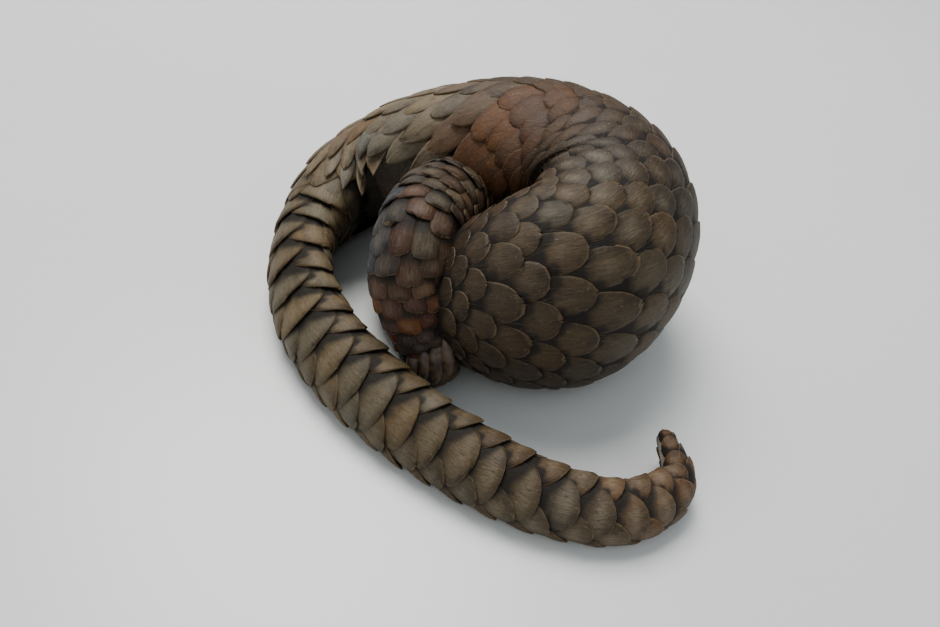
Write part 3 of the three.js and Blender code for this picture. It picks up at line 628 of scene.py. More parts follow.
    def plate_quads(self) -> np.ndarray:
        """Faces of one closed plate: its top, its rim, and strips across its underside.

        Returns:
            Four point numbers a face.
        """
        rows, columns = len(self.u_steps), len(self.v_steps)
        top = grid_quads(rows, columns)
        loop = self.edge_loop()
        below = np.arange(len(loop)) + rows * columns
        rim = np.stack([np.roll(loop, -1), loop, below, np.roll(below, -1)], -1)
        left, right = below[:rows], np.roll(below[::-1], columns)[:rows]
        strips = np.stack([left[:-1], right[:-1], right[1:], left[1:]], -1)
        tip = below[rows - 1:rows + columns - 1]
        root = np.concatenate([below[:1], below[:-columns:-1]])
        pairs = np.arange(columns // 2 - 1)
        tip_end = np.stack([tip[pairs], tip[-1 - pairs], tip[-2 - pairs], tip[pairs + 1]], -1)
        root_end = np.stack([root[pairs], root[pairs + 1], root[-2 - pairs], root[-1 - pairs]], -1)
        return np.concatenate([top, rim, strips, tip_end, root_end])


# Colours of the coat, by where a scale sits

@dataclass(frozen=True)
class CoatPalette:
    """Horn colours of the coat: umber and olive tan, with amber, rust and blue grey places; the blue grey is
    also a painted reflection of the sky, and dark mostly paints shade.
    """

    tan: str = "#5b4e36"
    umber: str = "#3a2c1b"
    dark: str = "#1f170f"
    ochre: str = "#463014"
    amber: str = "#56310c"
    rust: str = "#47210b"
    slate_and_sky_reflection: str = "#323438"
    pale: str = "#716550"
    # Bare skin, darkened partly as painted shade for the inside of the curl
    skin: str = "#5f4d40"
    pad: str = "#a39a8a"

    def mixed(self, base: np.ndarray, name: str, share: np.ndarray) -> np.ndarray:
        """Moves colours part of the way towards a named one."""
        return base + (linear(getattr(self, name)) - base) * np.clip(share, 0, 1)[:, None]

    def varied(self, base: np.ndarray, rng: np.random.Generator, amount: float) -> np.ndarray:
        """Lightens or darkens each scale at random and shifts its warmth a little.

        The colour is multiplied by one plus a normal draw. A second draw raises the red and
        lowers the blue, or the other way round.

        Args:
            base: linear colours, one a scale.
            rng: where the draws come from.
            amount: the standard deviation of the lightness.

        Returns:
            The varied colours.
        """
        value = 1 + amount * rng.normal(0, 1, (len(base), 1))
        warmth = 1 + rng.normal(0, 0.06, (len(base), 1)) * np.array([[1.0, 0.0, -1.6]])
        return np.clip(base * value * warmth, 0.004, 1)


PALETTE = CoatPalette()


def plain_base(name: str, count: int) -> np.ndarray:
    """The same named palette colour for a number of scales."""
    return np.tile(linear(getattr(PALETTE, name)), (count, 1))


def trunk_tint(t: np.ndarray, angle: np.ndarray, rng: np.random.Generator) -> np.ndarray:
    """Colours the scales of the trunk.

    They are umber over the ball, paler over the shoulders, partly as a painted sheen, darker
    low down as painted shade and over the bend partly as painted shade, amber in the fold of the
    flank, and pale tan over the rump.

    Args:
        t: places along the body.
        angle: degrees round it.
        rng: where the draws come from.

    Returns:
        Linear colours, one a scale.
    """
    side = side_angle(angle)
    patch = rng.uniform(-1, 1, len(t))
    # Paler over the shoulders: partly their own tan, partly a painted sheen
    base = PALETTE.mixed(plain_base("umber", len(t)), "tan", 0.3 * bell(t, 4.2, 0.8))
    # Painted shade: darker on the left side, which lies low
    base = PALETTE.mixed(base, "dark", 0.55 * smooth_step(10, -80, side))
    # Darker over the bend: partly its own dark brown, partly painted shade
    base = PALETTE.mixed(base, "dark", 0.8 * smooth_step(4.8, 5.7, t) * smooth_step(8.2, 7.2, t))
    upper = smooth_step(0, 60, side)
    base = PALETTE.mixed(base, "ochre", 0.66 * upper * smooth_step(5.2, 6.2, t) * smooth_step(8.4, 7.6, t))
    inner = smooth_step(62, 105, side) * smooth_step(6.4, 7.1, t) * smooth_step(8.7, 8.1, t)
    base = PALETTE.mixed(base, "amber", inner * (0.6 + 0.4 * patch))
    base = PALETTE.mixed(base, "rust", 0.45 * inner * (patch < -0.2))
    base = PALETTE.mixed(base, "pale", 0.85 * smooth_step(7.7, 8.5, t) * (1 - 0.75 * inner))
    base = PALETTE.mixed(base, "amber", 0.45 * (patch > 0.6) * upper * smooth_step(7.4, 8.0, t))
    belly = smooth_step(95, 125, np.abs(side)) * smooth_step(5.2, 4.2, t)
    base = PALETTE.mixed(base, "rust", 0.35 * belly * (patch > 0.2))
    return PALETTE.varied(base, rng, 0.1)


def tail_tint(t: np.ndarray, angle: np.ndarray, rng: np.random.Generator) -> np.ndarray:
    """Colours the tail: olive tan, browner on the edge rows, amber over the last third, and darker
    underneath, partly as painted shade.

    Args:
        t: places along the body.
        angle: degrees round it.
        rng: where the draws come from.

    Returns:
        Linear colours, one a scale.
    """
    base = PALETTE.mixed(plain_base("tan", len(t)), "umber", 0.3 * rng.uniform(0, 1, len(t)))
    base = PALETTE.mixed(base, "umber", 0.5 * smooth_step(13.0, 15.5, t))
    edge = smooth_step(16, 8, np.abs(from_dorsal(angle) - 84)) * smooth_step(14.0, 15.5, t)
    base = PALETTE.mixed(base, "ochre", 0.7 * edge)
    far = smooth_step(15.2, 17.4, t)
    base = PALETTE.mixed(base, "pale", 0.4 * far)
    base = PALETTE.mixed(base, "amber", 0.6 * far * (0.8 + 0.3 * rng.uniform(-1, 1, len(t))))
    # Darker underneath: partly the scales' own dark brown, partly painted shade
    base = PALETTE.mixed(base, "dark", 0.35 * smooth_step(110, 150, from_dorsal(angle)))
    return PALETTE.varied(base, rng, 0.08)


def leg_tint(t: np.ndarray, angle: np.ndarray, rng: np.random.Generator) -> np.ndarray:
    """Colours the scales of a leg.

    They are blue grey down the outer side, a painted reflection of the sky, rust and amber
    across the shin and down its outer edge, and grey green on the inner side and foot.

    Args:
        t: places along the leg.
        angle: degrees round it.
        rng: where the draws come from.

    Returns:
        Linear colours, one a scale.
    """
    side = side_angle(angle)
    patch = rng.uniform(-1, 1, len(t))
    outer = smooth_step(10, -60, side)
    green = 0.3 * np.maximum(smooth_step(0, 70, side), smooth_step(4.8, 5.6, t))
    base = PALETTE.mixed(plain_base("umber", len(t)), "pale", green)
    # Painted reflection of the sky: the outer side of the upper leg turns blue grey
    base = PALETTE.mixed(base, "slate_and_sky_reflection", 0.9 * outer * smooth_step(4.2, 3.4, t))
    base = PALETTE.mixed(base, "rust", 0.45 * (patch > 0.1) * smooth_step(4.0, 3.0, t))
    shin = bell(t, 3.95, 0.5) * smooth_step(85, 30, side)
    edge = outer * smooth_step(3.9, 4.3, t) * smooth_step(6.2, 5.4, t)
    glow = np.maximum(shin, edge)
    base = PALETTE.mixed(base, "rust", glow)
    base = PALETTE.mixed(base, "amber", 0.9 * glow * (patch > -0.2))
    base = PALETTE.mixed(base, "slate_and_sky_reflection", 0.5 * (patch < -0.5) * smooth_step(3.4, 4.4, t))
    return PALETTE.varied(base, rng, 0.16)


class EvenDraws:
    """Stands in for a random generator where every draw should be the middle one."""

    def uniform(self, low: float, high: float, size: int) -> np.ndarray:
        """The middle of a range, for a number of draws."""
        return np.full(size, (low + high) / 2)

    def normal(self, mean: float, spread: float, size: tuple[int, int]) -> np.ndarray:
        """The mean, for a shape of draws."""
        return np.full(size, mean)


def skin_tint(band: str, t: np.ndarray, angle: np.ndarray) -> np.ndarray:
    """The skin's colour: the coat's markings darkened as painted shade where scales lie over it, bare skin
    elsewhere.

    Args:
        band: which limb.
        t: places along it.
        angle: degrees round it.

    Returns:
        Linear colours, one a point.
    """
    bare = plain_base("skin", len(t))
    if band != "body":
        # Painted shade under the scales: the leg's markings, darkened
        under = leg_tint(t, angle, EvenDraws()) * 0.6
        return bare + (under - bare) * smooth_step(155, 135, from_dorsal(angle))[:, None]
    under = np.where((t > 9.8)[:, None], tail_tint(t, angle, EvenDraws()), trunk_tint(t, angle, EvenDraws()))
    scaled = np.where(t > 9.8, 1.0, smooth_step(140, 120, from_dorsal(angle)))
    scaled = scaled * smooth_step(1.5, 2.1, t)
    # Painted shade under the scales: the body's markings, darkened
    colour = bare + (under * 0.6 - bare) * scaled[:, None]
    round_on = np.mod(angle, 360)
    pad = smooth_step(17.3, 17.7, t) * smooth_step(70, 95, round_on) * smooth_step(240, 215, round_on)
    return colour + (linear(PALETTE.pad) - colour) * pad[:, None]


def head_tint(t: np.ndarray, angle: np.ndarray, rng: np.random.Generator) -> np.ndarray:
    """Umber, a little paler towards the nose."""
    base = PALETTE.mixed(plain_base("umber", len(t)), "pale", 0.45 * smooth_step(1.6, 0.4, t))
    return PALETTE.varied(base, rng, 0.08)


# Finishes

class Blend(Enum):
    """How two colours are put together."""

    MIX = "MIX"
    MULTIPLY = "MULTIPLY"


class Graph:
    """Adds and links the shader nodes of one material."""

    def __init__(self, name: str) -> None:
        """Starts a material with an empty node tree.

        Args:
            name: the material's name.
        """
        self.material = bpy.data.materials.new(name)
        self.material.use_nodes = True
        self.tree = self.material.node_tree
        self.tree.nodes.clear()

    def add(self, kind: str, sockets: Sockets = (), output: Union[str, int] = 0,
            **settings: Union[str, bool]) -> bpy.types.NodeSocket:
        """Adds one node with its settings and its links.

        Args:
            kind: the node's type name, without the ShaderNode it starts with.
            sockets: what goes in, as a row in the order of its inputs or a dict by their names
                or numbers. Each is a socket to link, a number, a vector or a linear colour.
            output: the name or number of the output to hand back.
            settings: the node's properties.

        Returns:
            That output socket.
        """
        node = self.tree.nodes.new("ShaderNode" + kind)
        for name, value in settings.items():
            setattr(node, name, value)
        pairs = sockets.items() if isinstance(sockets, dict) else enumerate(sockets)
        for key, value in pairs:
            socket = node.inputs[key]
            if isinstance(value, bpy.types.NodeSocket):
                self.tree.links.new(value, socket)
            elif socket.type == "RGBA":
                socket.default_value = (*value, 1.0)
            else:
                socket.default_value = value
        return node.outputs[output]

    def paint(self, under: Value, over: Sequence[float], masks: Sequence[Value],
              amount: float = 1.0, blend: Blend = Blend.MIX) -> bpy.types.NodeSocket:
        """Lays one colour over another, by the product of some masks and an amount.

        Args:
            under: the colour below, a socket or a linear colour.
            over: the linear colour that replaces or multiplies it.
            masks: sockets from 0 to 1.
            amount: the share where every mask is 1.
            blend: how the colours are put together.

        Returns:
            The resulting colour.
        """
        share = masks[0]
        for factor in (*masks[1:], amount):
            share = self.add("Math", (share, factor), operation="MULTIPLY")
        return self.add("Mix", {0: share, 6: under, 7: over}, output=2,
                        data_type="RGBA", blend_type=blend.value)

    def weighed(self, parts: Sequence[tuple[Value, float]], base: float = 0.0) -> Value:
        """Adds up parts times their weights, and a base.

        Args:
            parts: pairs of a socket and its weight.
            base: the number they are added to.

        Returns:
            The sum as a socket.
        """
        total = base
        for part, weight in parts:
            total = self.add("Math", (part, weight, total), operation="MULTIPLY_ADD")
        return total

    def surface(self, sockets: dict[str, Value]) -> bpy.types.Material:
        """Ends the graph in a surface shader.

        Args:
            sockets: what goes into the shader, by name.

        Returns:
            The finished material.
        """
        shader = self.add("BsdfPrincipled", sockets)
        output = self.tree.nodes.new("ShaderNodeOutputMaterial")
        self.tree.links.new(shader, output.inputs["Surface"])
        return self.material


SMOOTH = {"interpolation_type": "SMOOTHSTEP"}


@dataclass(frozen=True)
class HornScaleFinish:
    """Keratin scales, grown in layers and worn by earth and stones.

    To the eye each plate is dark where it leaves its neighbours, from dirt and painted shade,
    rubbed pale in its middle with a painted sheen, and darker towards its free end as painted
    shade. It has a thin worn rim, growth lines and a dull satin sheen.
    Sizes are in metres: the striae run for 12 mm and lie 1.6 mm apart, the bands for 20 mm and
    6 mm apart, and the scratches for 4.5 mm and 0.7 mm apart.
    """

    name: str = "keratin_scale"
    rim: str = "#7d6547"
    scuffed_pale_and_sheen: str = "#a2957f"
    grime_and_shade: str = "#120e0a"
    roughness: float = 0.51
    specular: float = 0.28
    striae: tuple[float, float] = (0.012, 0.0016)
    bands: tuple[float, float] = (0.02, 0.006)
    scratch: tuple[float, float] = (0.0045, 0.0007)
    scratch_turns: tuple[float, ...] = (0.35, 1.3, 2.5)
    blotch: float = 1 / 75  # 13 mm
    speck: float = 1 / 480  # 2 mm
    cloud: float = 1 / 26  # 38 mm
    stained: tuple[float, float, float] = (0.5, 0.46, 0.42)
    bleached: tuple[float, float, float] = (1.45, 1.4, 1.3)
    dusty: tuple[float, float, float] = (1.35, 1.32, 1.3)
    tip_shade: tuple[float, float, float] = (0.52, 0.5, 0.5)
    relief: float = 0.0005

    def make(self) -> bpy.types.Material:
        """Paints the horn in layers over each scale's own tint.

        Returns:
            The material.
        """
        graph = Graph(self.name)
        tint = graph.add("Attribute", attribute_name="Tint")
        plate = graph.add("Attribute", attribute_name="Plate")
        parts = graph.add("SeparateColor", (plate,)).node.outputs
        out, edge, own = parts["Red"], parts["Green"], parts["Blue"]
        scuff_and_sheen = plate.node.outputs["Alpha"]
        across = graph.add("UVMap", uv_map="ScaleMap")
        place = graph.add("TexCoord", output="Object")
        striae = self.lines(graph, across, self.striae)
        bands = self.lines(graph, across, self.bands)
        scratches = self.scratches(graph, across)
        mottle, speckle, cloud = (
            graph.add("TexNoise", {"Vector": place, "Scale": 1 / size, "Detail": detail,
                                   "Roughness": rough})
            for size, detail, rough in ((self.blotch, 4.0, 0.62), (self.speck, 3.0, 0.65),
                                        (self.cloud, 3.0, 0.6))
        )

        def mask(value: bpy.types.NodeSocket, low: float, high: float) -> bpy.types.NodeSocket:
            """Where a value has passed from low to high."""
            return graph.add("MapRange", (value, low, high), **SMOOTH)

        colour = graph.paint(tint, self.stained, [mask(striae, 0.4, 0.68)], 0.35, Blend.MULTIPLY)
        colour = graph.paint(colour, self.bleached, [mask(bands, 0.45, 0.7)], 0.45, Blend.MULTIPLY)
        colour = graph.paint(colour, self.stained, [mask(mottle, 0.5, 0.68)], 0.7, Blend.MULTIPLY)
        colour = graph.paint(colour, self.stained, [mask(speckle, 0.44, 0.3)], 0.6, Blend.MULTIPLY)
        colour = graph.paint(colour, self.dusty, [mask(cloud, 0.5, 0.75)], 0.35, Blend.MULTIPLY)
        # Painted shade: the horn is darker near its free end than in its middle, in patches
        colour = graph.paint(colour, self.tip_shade, [mask(edge, 0.42, 0.06), mask(mottle, 0.3, 0.62)],
                             0.6, Blend.MULTIPLY)
        # The middle of a plate is rubbed pale and scratched; the pale middle also paints a sheen
        pale = linear(self.scuffed_pale_and_sheen)
        middle = [mask(edge, 0.3, 0.85), mask(out, 0.15, 0.8), scuff_and_sheen, mask(scratches, 0.42, 0.62)]
        colour = graph.paint(colour, pale, middle, 0.42)
        everywhere = graph.add("Math", (scuff_and_sheen, 0.25), operation="ADD")
        colour = graph.paint(colour, pale, [mask(scratches, 0.6, 0.72), everywhere], 0.15)
        colour = graph.paint(colour, pale, [mask(speckle, 0.62, 0.76)], 0.3)
        # Dirt and painted shade lie where a plate leaves its neighbours, and a thin rim is worn clean
        crevice = graph.add("Math", (mask(out, 0.3, 0.0), 0.92), operation="MULTIPLY")
        colour = graph.paint(colour, linear(self.grime_and_shade), [crevice])
        worn = [mask(edge, 0.07, 0.02), mask(mottle, 0.34, 0.58)]
        colour = graph.paint(colour, linear(self.rim), worn, 0.4)
        height = graph.weighed([(striae, 0.5), (bands, 0.7), (scratches, 0.6), (mottle, 1.2)])
        return graph.surface({
            "Base Color": colour,
            "Roughness": graph.weighed([(scratches, 0.35), (own, 0.08), (crevice, 0.2)],
                                       self.roughness - 0.17),
            "Specular IOR Level": self.specular,
            "Normal": graph.add("Bump", {"Height": height, "Distance": self.relief, "Strength": 1.0}),
        })

    def lines(self, graph: Graph, across: bpy.types.NodeSocket,
              size: tuple[float, float]) -> bpy.types.NodeSocket:
        """Lines from root to tip: noise drawn out along a plate.

        Args:
            graph: the material's nodes.
            across: the scale's own map, in metres.
            size: how far a line runs, and how far apart they are.

        Returns:
            The noise, about 0.5.
        """
        run, spacing = size
        drawn = graph.add("VectorMath", (across, (1 / run, 1 / spacing, 1.0)), operation="MULTIPLY")
        return graph.add("TexNoise", {"Vector": drawn, "Scale": 1.0, "Detail": 3.0, "Roughness": 0.55})

    def scratches(self, graph: Graph, across: bpy.types.NodeSocket) -> bpy.types.NodeSocket:
        """Fine scratches that cross: the strongest of three drawn-out noises, each turned.

        Args:
            graph: the material's nodes.
            across: the scale's own map, in metres.

        Returns:
            The strongest noise.
        """
        run, spacing = self.scratch
        drawn = []
        for turn in self.scratch_turns:
            turned = graph.add("Mapping", {"Vector": across, "Rotation": (0.0, 0.0, turn),
                                           "Scale": (1 / run, 1 / spacing, 1.0)})
            drawn.append(graph.add("TexNoise", {"Vector": turned, "Scale": 1.0, "Detail": 2.0,
                                                "Roughness": 0.5}))
        strongest = drawn[0]
        for other in drawn[1:]:
            strongest = graph.add("Math", (strongest, other), operation="MAXIMUM")
        return strongest


@dataclass(frozen=True)
class SkinFinish:
    """Bare skin: to the eye dull and warm grey, with a net of fine wrinkles 2.4 mm across.

    The body's skin takes its colour from its own Tint instead. Sizes are in metres.
    """

    name: str
    colour: str
    dark: str
    roughness: float = 0.72
    tinted: bool = False
    wrinkle: float = 1 / 420  # 2.4 mm
    grain: float = 1 / 240  # 4 mm
    patch: float = 1 / 60  # 17 mm
    wrinkle_shade: tuple[float, float, float] = (0.4, 0.38, 0.36)
    relief: float = 0.0003

    def make(self) -> bpy.types.Material:
        """Shades the skin in patches and darkens its wrinkles.

        Returns:
            The material.
        """
        graph = Graph(self.name)
        place = graph.add("TexCoord", output="Object")
        folds = graph.add("TexVoronoi", {"Vector": place, "Scale": 1 / self.wrinkle},
                          feature="DISTANCE_TO_EDGE")
        grain, patches = (
            graph.add("TexNoise", {"Vector": place, "Scale": 1 / size, "Detail": detail, "Roughness": 0.6})
            for size, detail in ((self.grain, 4.0), (self.patch, 3.0))
        )
        colour = linear(self.colour)
        if self.tinted:
            colour = graph.add("Attribute", attribute_name="Tint")
        shaded = graph.add("MapRange", (patches, 0.35, 0.7), **SMOOTH)
        colour = graph.paint(colour, linear(self.dark) / linear(self.colour), [shaded], blend=Blend.MULTIPLY)
        # Painted shade in the creases of the wrinkles
        creased = graph.add("MapRange", (folds, 0.12, 0.0), **SMOOTH)
        colour = graph.paint(colour, self.wrinkle_shade, [creased], 0.6, Blend.MULTIPLY)
        raised = graph.add("MapRange", (folds, 0.0, 0.2), **SMOOTH)
        height = graph.weighed([(grain, 0.8), (raised, 1.0)])
        return graph.surface({
            "Base Color": colour,
            "Roughness": self.roughness,
            "Subsurface Weight": 0.08,
            "Subsurface Radius": (0.004, 0.002, 0.001),
            "Normal": graph.add("Bump", {"Height": height, "Distance": self.relief, "Strength": 0.8}),
        })


@dataclass(frozen=True)
class ClawFinish:
    """Horn of a claw, worn smooth by digging: to the eye brown, streaked and satin."""

    name: str = "claw_horn"
    colour: str = "#5d4a39"
    dark: str = "#33271d"
    streak: float = 1 / 160  # 6 mm
    grain: float = 1 / 900  # 1 mm

    def make(self) -> bpy.types.Material:
        """Streaks the horn and roughens it a little.

        Returns:
            The material.
        """
        graph = Graph(self.name)
        place = graph.add("TexCoord", output="Object")
        streaks, fine = (
            graph.add("TexNoise", {"Vector": place, "Scale": 1 / size, "Detail": 3.0, "Roughness": 0.6})
            for size in (self.streak, self.grain)
        )
        streaked = graph.add("MapRange", (streaks, 0.35, 0.65), **SMOOTH)
        return graph.surface({
            "Base Color": graph.paint(linear(self.colour), linear(self.dark), [streaked]),
            "Roughness": graph.weighed([(fine, 0.25)], 0.28),
            "Normal": graph.add("Bump", {"Height": fine, "Distance": 0.0002, "Strength": 0.6}),
        })


@dataclass(frozen=True)
class HairFinish:
    """Stiff hair: to the eye brown, some tufts paler, with a soft sheen."""

    name: str = "stiff_hair"
    colour: str = "#3f2f1d"
    pale: str = "#6a573a"
    tuft: float = 1 / 120  # 8 mm

    def make(self) -> bpy.types.Material:
        """Mixes the two browns by tufts.

        Returns:
            The material.
        """
        graph = Graph(self.name)
        place = graph.add("TexCoord", output="Object")
        tufts = graph.add("TexNoise", {"Vector": place, "Scale": 1 / self.tuft, "Detail": 2.0,
                                       "Roughness": 0.5})
        paler = graph.add("MapRange", (tufts, 0.4, 0.7), **SMOOTH)
        return graph.surface({
            "Base Color": graph.paint(linear(self.colour), linear(self.pale), [paler]),
            "Roughness": 0.5,
        })


@dataclass(frozen=True)
class EyeFinish:
    """A wet eye: to the eye nearly black brown under a clear, sharply glinting film."""

    name: str = "wet_eye"
    colour: str = "#1c120c"
    light: str = "#2b1b10"
    fibre: float = 1 / 900  # 1 mm

    def make(self) -> bpy.types.Material:
        """Mixes two browns by fibres and puts the tear film on them.

        Returns:
            The material.
        """
        graph = Graph(self.name)
        place = graph.add("TexCoord", output="Object")
        fibres = graph.add("TexNoise", {"Vector": place, "Scale": 1 / self.fibre, "Detail": 2.0,
                                        "Roughness": 0.5})
        return graph.surface({
            "Base Color": graph.paint(linear(self.colour), linear(self.light), [fibres]),
            "Roughness": 0.08,
            "Coat Weight": 1.0,
            "Coat Roughness": 0.03,
        })


@dataclass(frozen=True)
class FloorFinish:
    """A plain glazed floor: to the eye pale and clean, with a faint satin sheen."""

    name: str = "pale_floor"
    colour: str = "#e9ebe6"
    shade: str = "#e1e4df"
    cloud: float = 1 / 3  # 330 mm

    def make(self) -> bpy.types.Material:
        """Clouds the floor a little.

        Returns:
            The material.
        """
        graph = Graph(self.name)
        place = graph.add("TexCoord", output="Object")
        clouds = graph.add("TexNoise", {"Vector": place, "Scale": 1 / self.cloud, "Detail": 4.0,
                                        "Roughness": 0.6})
        return graph.surface({
            "Base Color": graph.paint(linear(self.colour), linear(self.shade), [clouds]),
            "Roughness": 0.32,
        })


# Sub-assemblies

def even_angles(count: int) -> list[float]:
    """Angles of evenly spaced columns, the first on the dorsal line."""
    return [360.0 * k / count for k in range(count)]


def under_legs(points: np.ndarray, share: float = 0.82) -> np.ndarray:
    """Finds the points buried in a leg.

    Args:
        points: the points, with a last axis of three.
        share: the share of their size that the legs' ovals keep.

    Returns:
        True for each point inside.
    """
    hidden = np.zeros(len(points), dtype=bool)
    for limb in LEGS.values():
        hidden |= limb.holds(points, share, 0.0, float(limb.last))
    return hidden


@dataclass
class Coat:
    """All the scales of the animal, in pieces by region."""

    finish: bpy.types.Material
    trunk_columns: int = 30
    right_spread: Table = ((1.8, 124), (5.0, 132), (6.0, 150), (7.4, 150), (8.2, 112), (9.5, 100))
    left_spread: Table = ((1.8, 124), (5.0, 132), (6.0, 150))
    tail_edges: tuple[float, float] = (84, 276)
    tail_columns: tuple[float, ...] = (2, 84, 128, 166, 203, 240, 276, 318)
    leg_rows: tuple[tuple[str, int, Table, float, int], ...] = (
        ("hindleg_right", 20, ((0, 22), (3, 20), (5, 18), (7, 11)), 6.6, 53),
        ("hindleg_left", 18, ((0, 20), (2, 15), (3, 9)), 2.6, 59),
        ("foreleg_right", 18, ((0, 19), (3, 14), (4, 8)), 3.5, 61),
        ("foreleg_left", 16, ((0, 18), (3, 9)), 2.5, 67),
    )

    def spread(self, t: np.ndarray, angle: np.ndarray) -> np.ndarray:
        """How far round from the dorsal line the trunk's scales reach, on the side of an angle."""
        right = np.mod(angle, 360) < 180
        return np.where(right, from_table(self.right_spread, t), from_table(self.left_spread, t))

    def head(self) -> Sheet:
        """Small scales on the top of the head.

        Returns:
            Their sheet.
        """
        return ScaleRows(
            "body", BODY, even_angles(20), BODY.length_at(0.42), BODY.length_at(1.95),
            pitch=((0, 7), (1, 10), (1.9, 13)), tint=head_tint, overlap=1.35,
            lift=((0, 0.9), (1.9, 1.8)), dome=0.9, thickness=0.9,
            keep=lambda t, a, p: (from_dorsal(a) < 66) & ~under_legs(p), seed=11,
        ).build()

    def trunk(self) -> Sheet:
        """The large scales from the neck to the rump.

        Returns:
            Their sheet.
        """
        def power(t: np.ndarray, a: np.ndarray) -> np.ndarray:
            """Blunt shields on the ball, long points on the rump."""
            return from_table(((1.8, 2.4), (3.5, 2.8), (6.0, 2.6), (7.2, 1.9), (7.9, 1.6), (9.3, 1.5)), t)

        def skew(t: np.ndarray, a: np.ndarray) -> np.ndarray:
            """On the upper flank of the loin and rump the scales turn down towards the belly."""
            upper = smooth_step(-20, 40, side_angle(a)) * smooth_step(170, 120, side_angle(a))
            return 22 * upper * smooth_step(6.8, 8.2, t)

        def scuff_and_sheen(t: np.ndarray, a: np.ndarray) -> np.ndarray:
            """The top of the ball is rubbed pale and lit with a painted sheen."""
            side = side_angle(a)
            return 0.12 + 0.6 * bell(t, 4.6, 1.25) * smooth_step(0, 60, side) * smooth_step(150, 110, side)

        def stand(t: np.ndarray, a: np.ndarray) -> np.ndarray:
            """Scales outside the bend stand off a little, and the rump's inner ones hang out free."""
            fringe = smooth_step(62, 96, side_angle(a)) * smooth_step(7.5, 8.1, t) * smooth_step(10.2, 9.6, t)
            return 1.6 * (bell(t, 6.2, 1.2) * smooth_step(60, 10, from_dorsal(a))) + 13.0 * fringe

        return ScaleRows(
            "body", BODY, even_angles(self.trunk_columns), BODY.length_at(1.75), BODY.length_at(9.5),
            pitch=((1.8, 14), (3, 19), (4, 22.5), (5, 22.5), (6, 20.5), (7, 21), (7.8, 28),
                   (8.4, 33), (9.4, 34)), tint=trunk_tint, overlap=1.42, share=((7.2, 1.03), (8.2, 0.98)),
            lift=((1.8, 1.8), (3, 2.6), (7.4, 2.8), (8.4, 3.8), (9.4, 5.0)), dome=1.7,
            thickness=1.4, power=power, skew=skew, scuff_and_sheen=scuff_and_sheen, stand=stand,
            keep=lambda t, a, p: (from_dorsal(a) < self.spread(t, a)) & ~under_legs(p),
            seed=23,
        ).build()

    def tail_root(self) -> Sheet:
        """The long pointed scales where the tail begins.

        Returns:
            Their sheet.
        """
        return ScaleRows(
            "body", BODY, even_angles(14), BODY.length_at(9.55), BODY.length_at(10.3),
            pitch=((9, 30), (11, 24)), tint=tail_tint, overlap=1.5, lift=((9.5, 2.4), (10.3, 3.6)),
            dome=1.3, thickness=1.4, power=lambda t, a: np.full_like(t, 1.4),
            skew=lambda t, a: 12 * smooth_step(10.6, 9.3, t) * smooth_step(150, 100, from_dorsal(a)),
            keep=lambda t, a, p: (from_dorsal(a) < self.spread(t, a)) & ~under_legs(p), seed=37,
        ).build()

    def tail(self) -> Sheet:
        """The rows of the tail: two broad ones over it, two folded, pointed ones on its edges,
        and four below.

        Returns:
            Their sheet.
        """
        def on_edge(a: np.ndarray) -> np.ndarray:
            """Whether a column is one of the two marginal ones."""
            return np.minimum(*(np.abs(np.mod(a, 360) - edge) for edge in self.tail_edges)) < 10

        return ScaleRows(
            "body", BODY, self.tail_columns, BODY.length_at(10.3), BODY.total - 1.0,
            pitch=((10.1, 22), (14, 20.5), (16, 20), (17.4, 16), (18.4, 11), (19, 8)),
            tint=tail_tint, overlap=1.36, share=((10.0, 0.97),),
            lift=((10, 2.8), (15, 2.3), (18, 1.7), (19, 1.0)), dome=2.3, thickness=1.3, widest=0.46,
            power=lambda t, a: np.where(on_edge(a), 1.55, 2.0),
            stand=lambda t, a: np.where(on_edge(a), from_table(((10, 0.8), (18, 0.2)), t), 0.0),
            scuff_and_sheen=lambda t, a: 0.3 + 0.4 * smooth_step(14, 17, t),
            keep=lambda t, a, p: (t < 18.9) & ~((t > 17.5) & (np.mod(a, 360) > 100) & (np.mod(a, 360) < 230)),
            seed=41,
        ).build()

    def leg(self, band: str, count: int, pitch: Table, toe: float, seed: int) -> Sheet:
        """The broad short scales round one leg, laid like bricks.

        None lie on the inner side, on the toes or inside the body.

        Args:
            band: which leg.
            count: how many columns go round it.
            pitch: the rows' pitch along it.
            toe: the place past which the foot is bare.
            seed: the seed of its draws.

        Returns:
            Their sheet.
        """
        limb = LEGS[band]
        return ScaleRows(
            band, limb, even_angles(count), -1.0, limb.total, pitch=pitch, tint=leg_tint,
            overlap=0.84, share=((0.0, 1.08),), lift=((0, 2.4), (limb.last, 1.7)), dome=1.4,
            thickness=1.3, power=lambda t, a: np.full_like(t, 4.2), widest=0.7, root_width=0.9,
            scuff_and_sheen=lambda t, a: np.full_like(t, 0.5), jitter=1.7,
            keep=lambda t, a, p: (t < toe) & (from_dorsal(a) < 152) & ~BODY.holds(p, 0.93, 1.5, 10.6),
            seed=seed,
        ).build()

    def build(self) -> None:
        """Makes every region's scales as its own piece."""
        regions = {
            "scales_head": (self.head(), "trunk_scales"),
            "scales_trunk": (self.trunk(), "trunk_scales"),
            "scales_tail_root": (self.tail_root(), "tail_scales"),
            "scales_tail": (self.tail(), "tail_scales"),
        }
        for band, *rows in self.leg_rows:
            regions[f"scales_{band}"] = (self.leg(band, *rows), "leg_scales")
        for name, (sheet, slot) in regions.items():
            make_piece(name, sheet, self.finish)


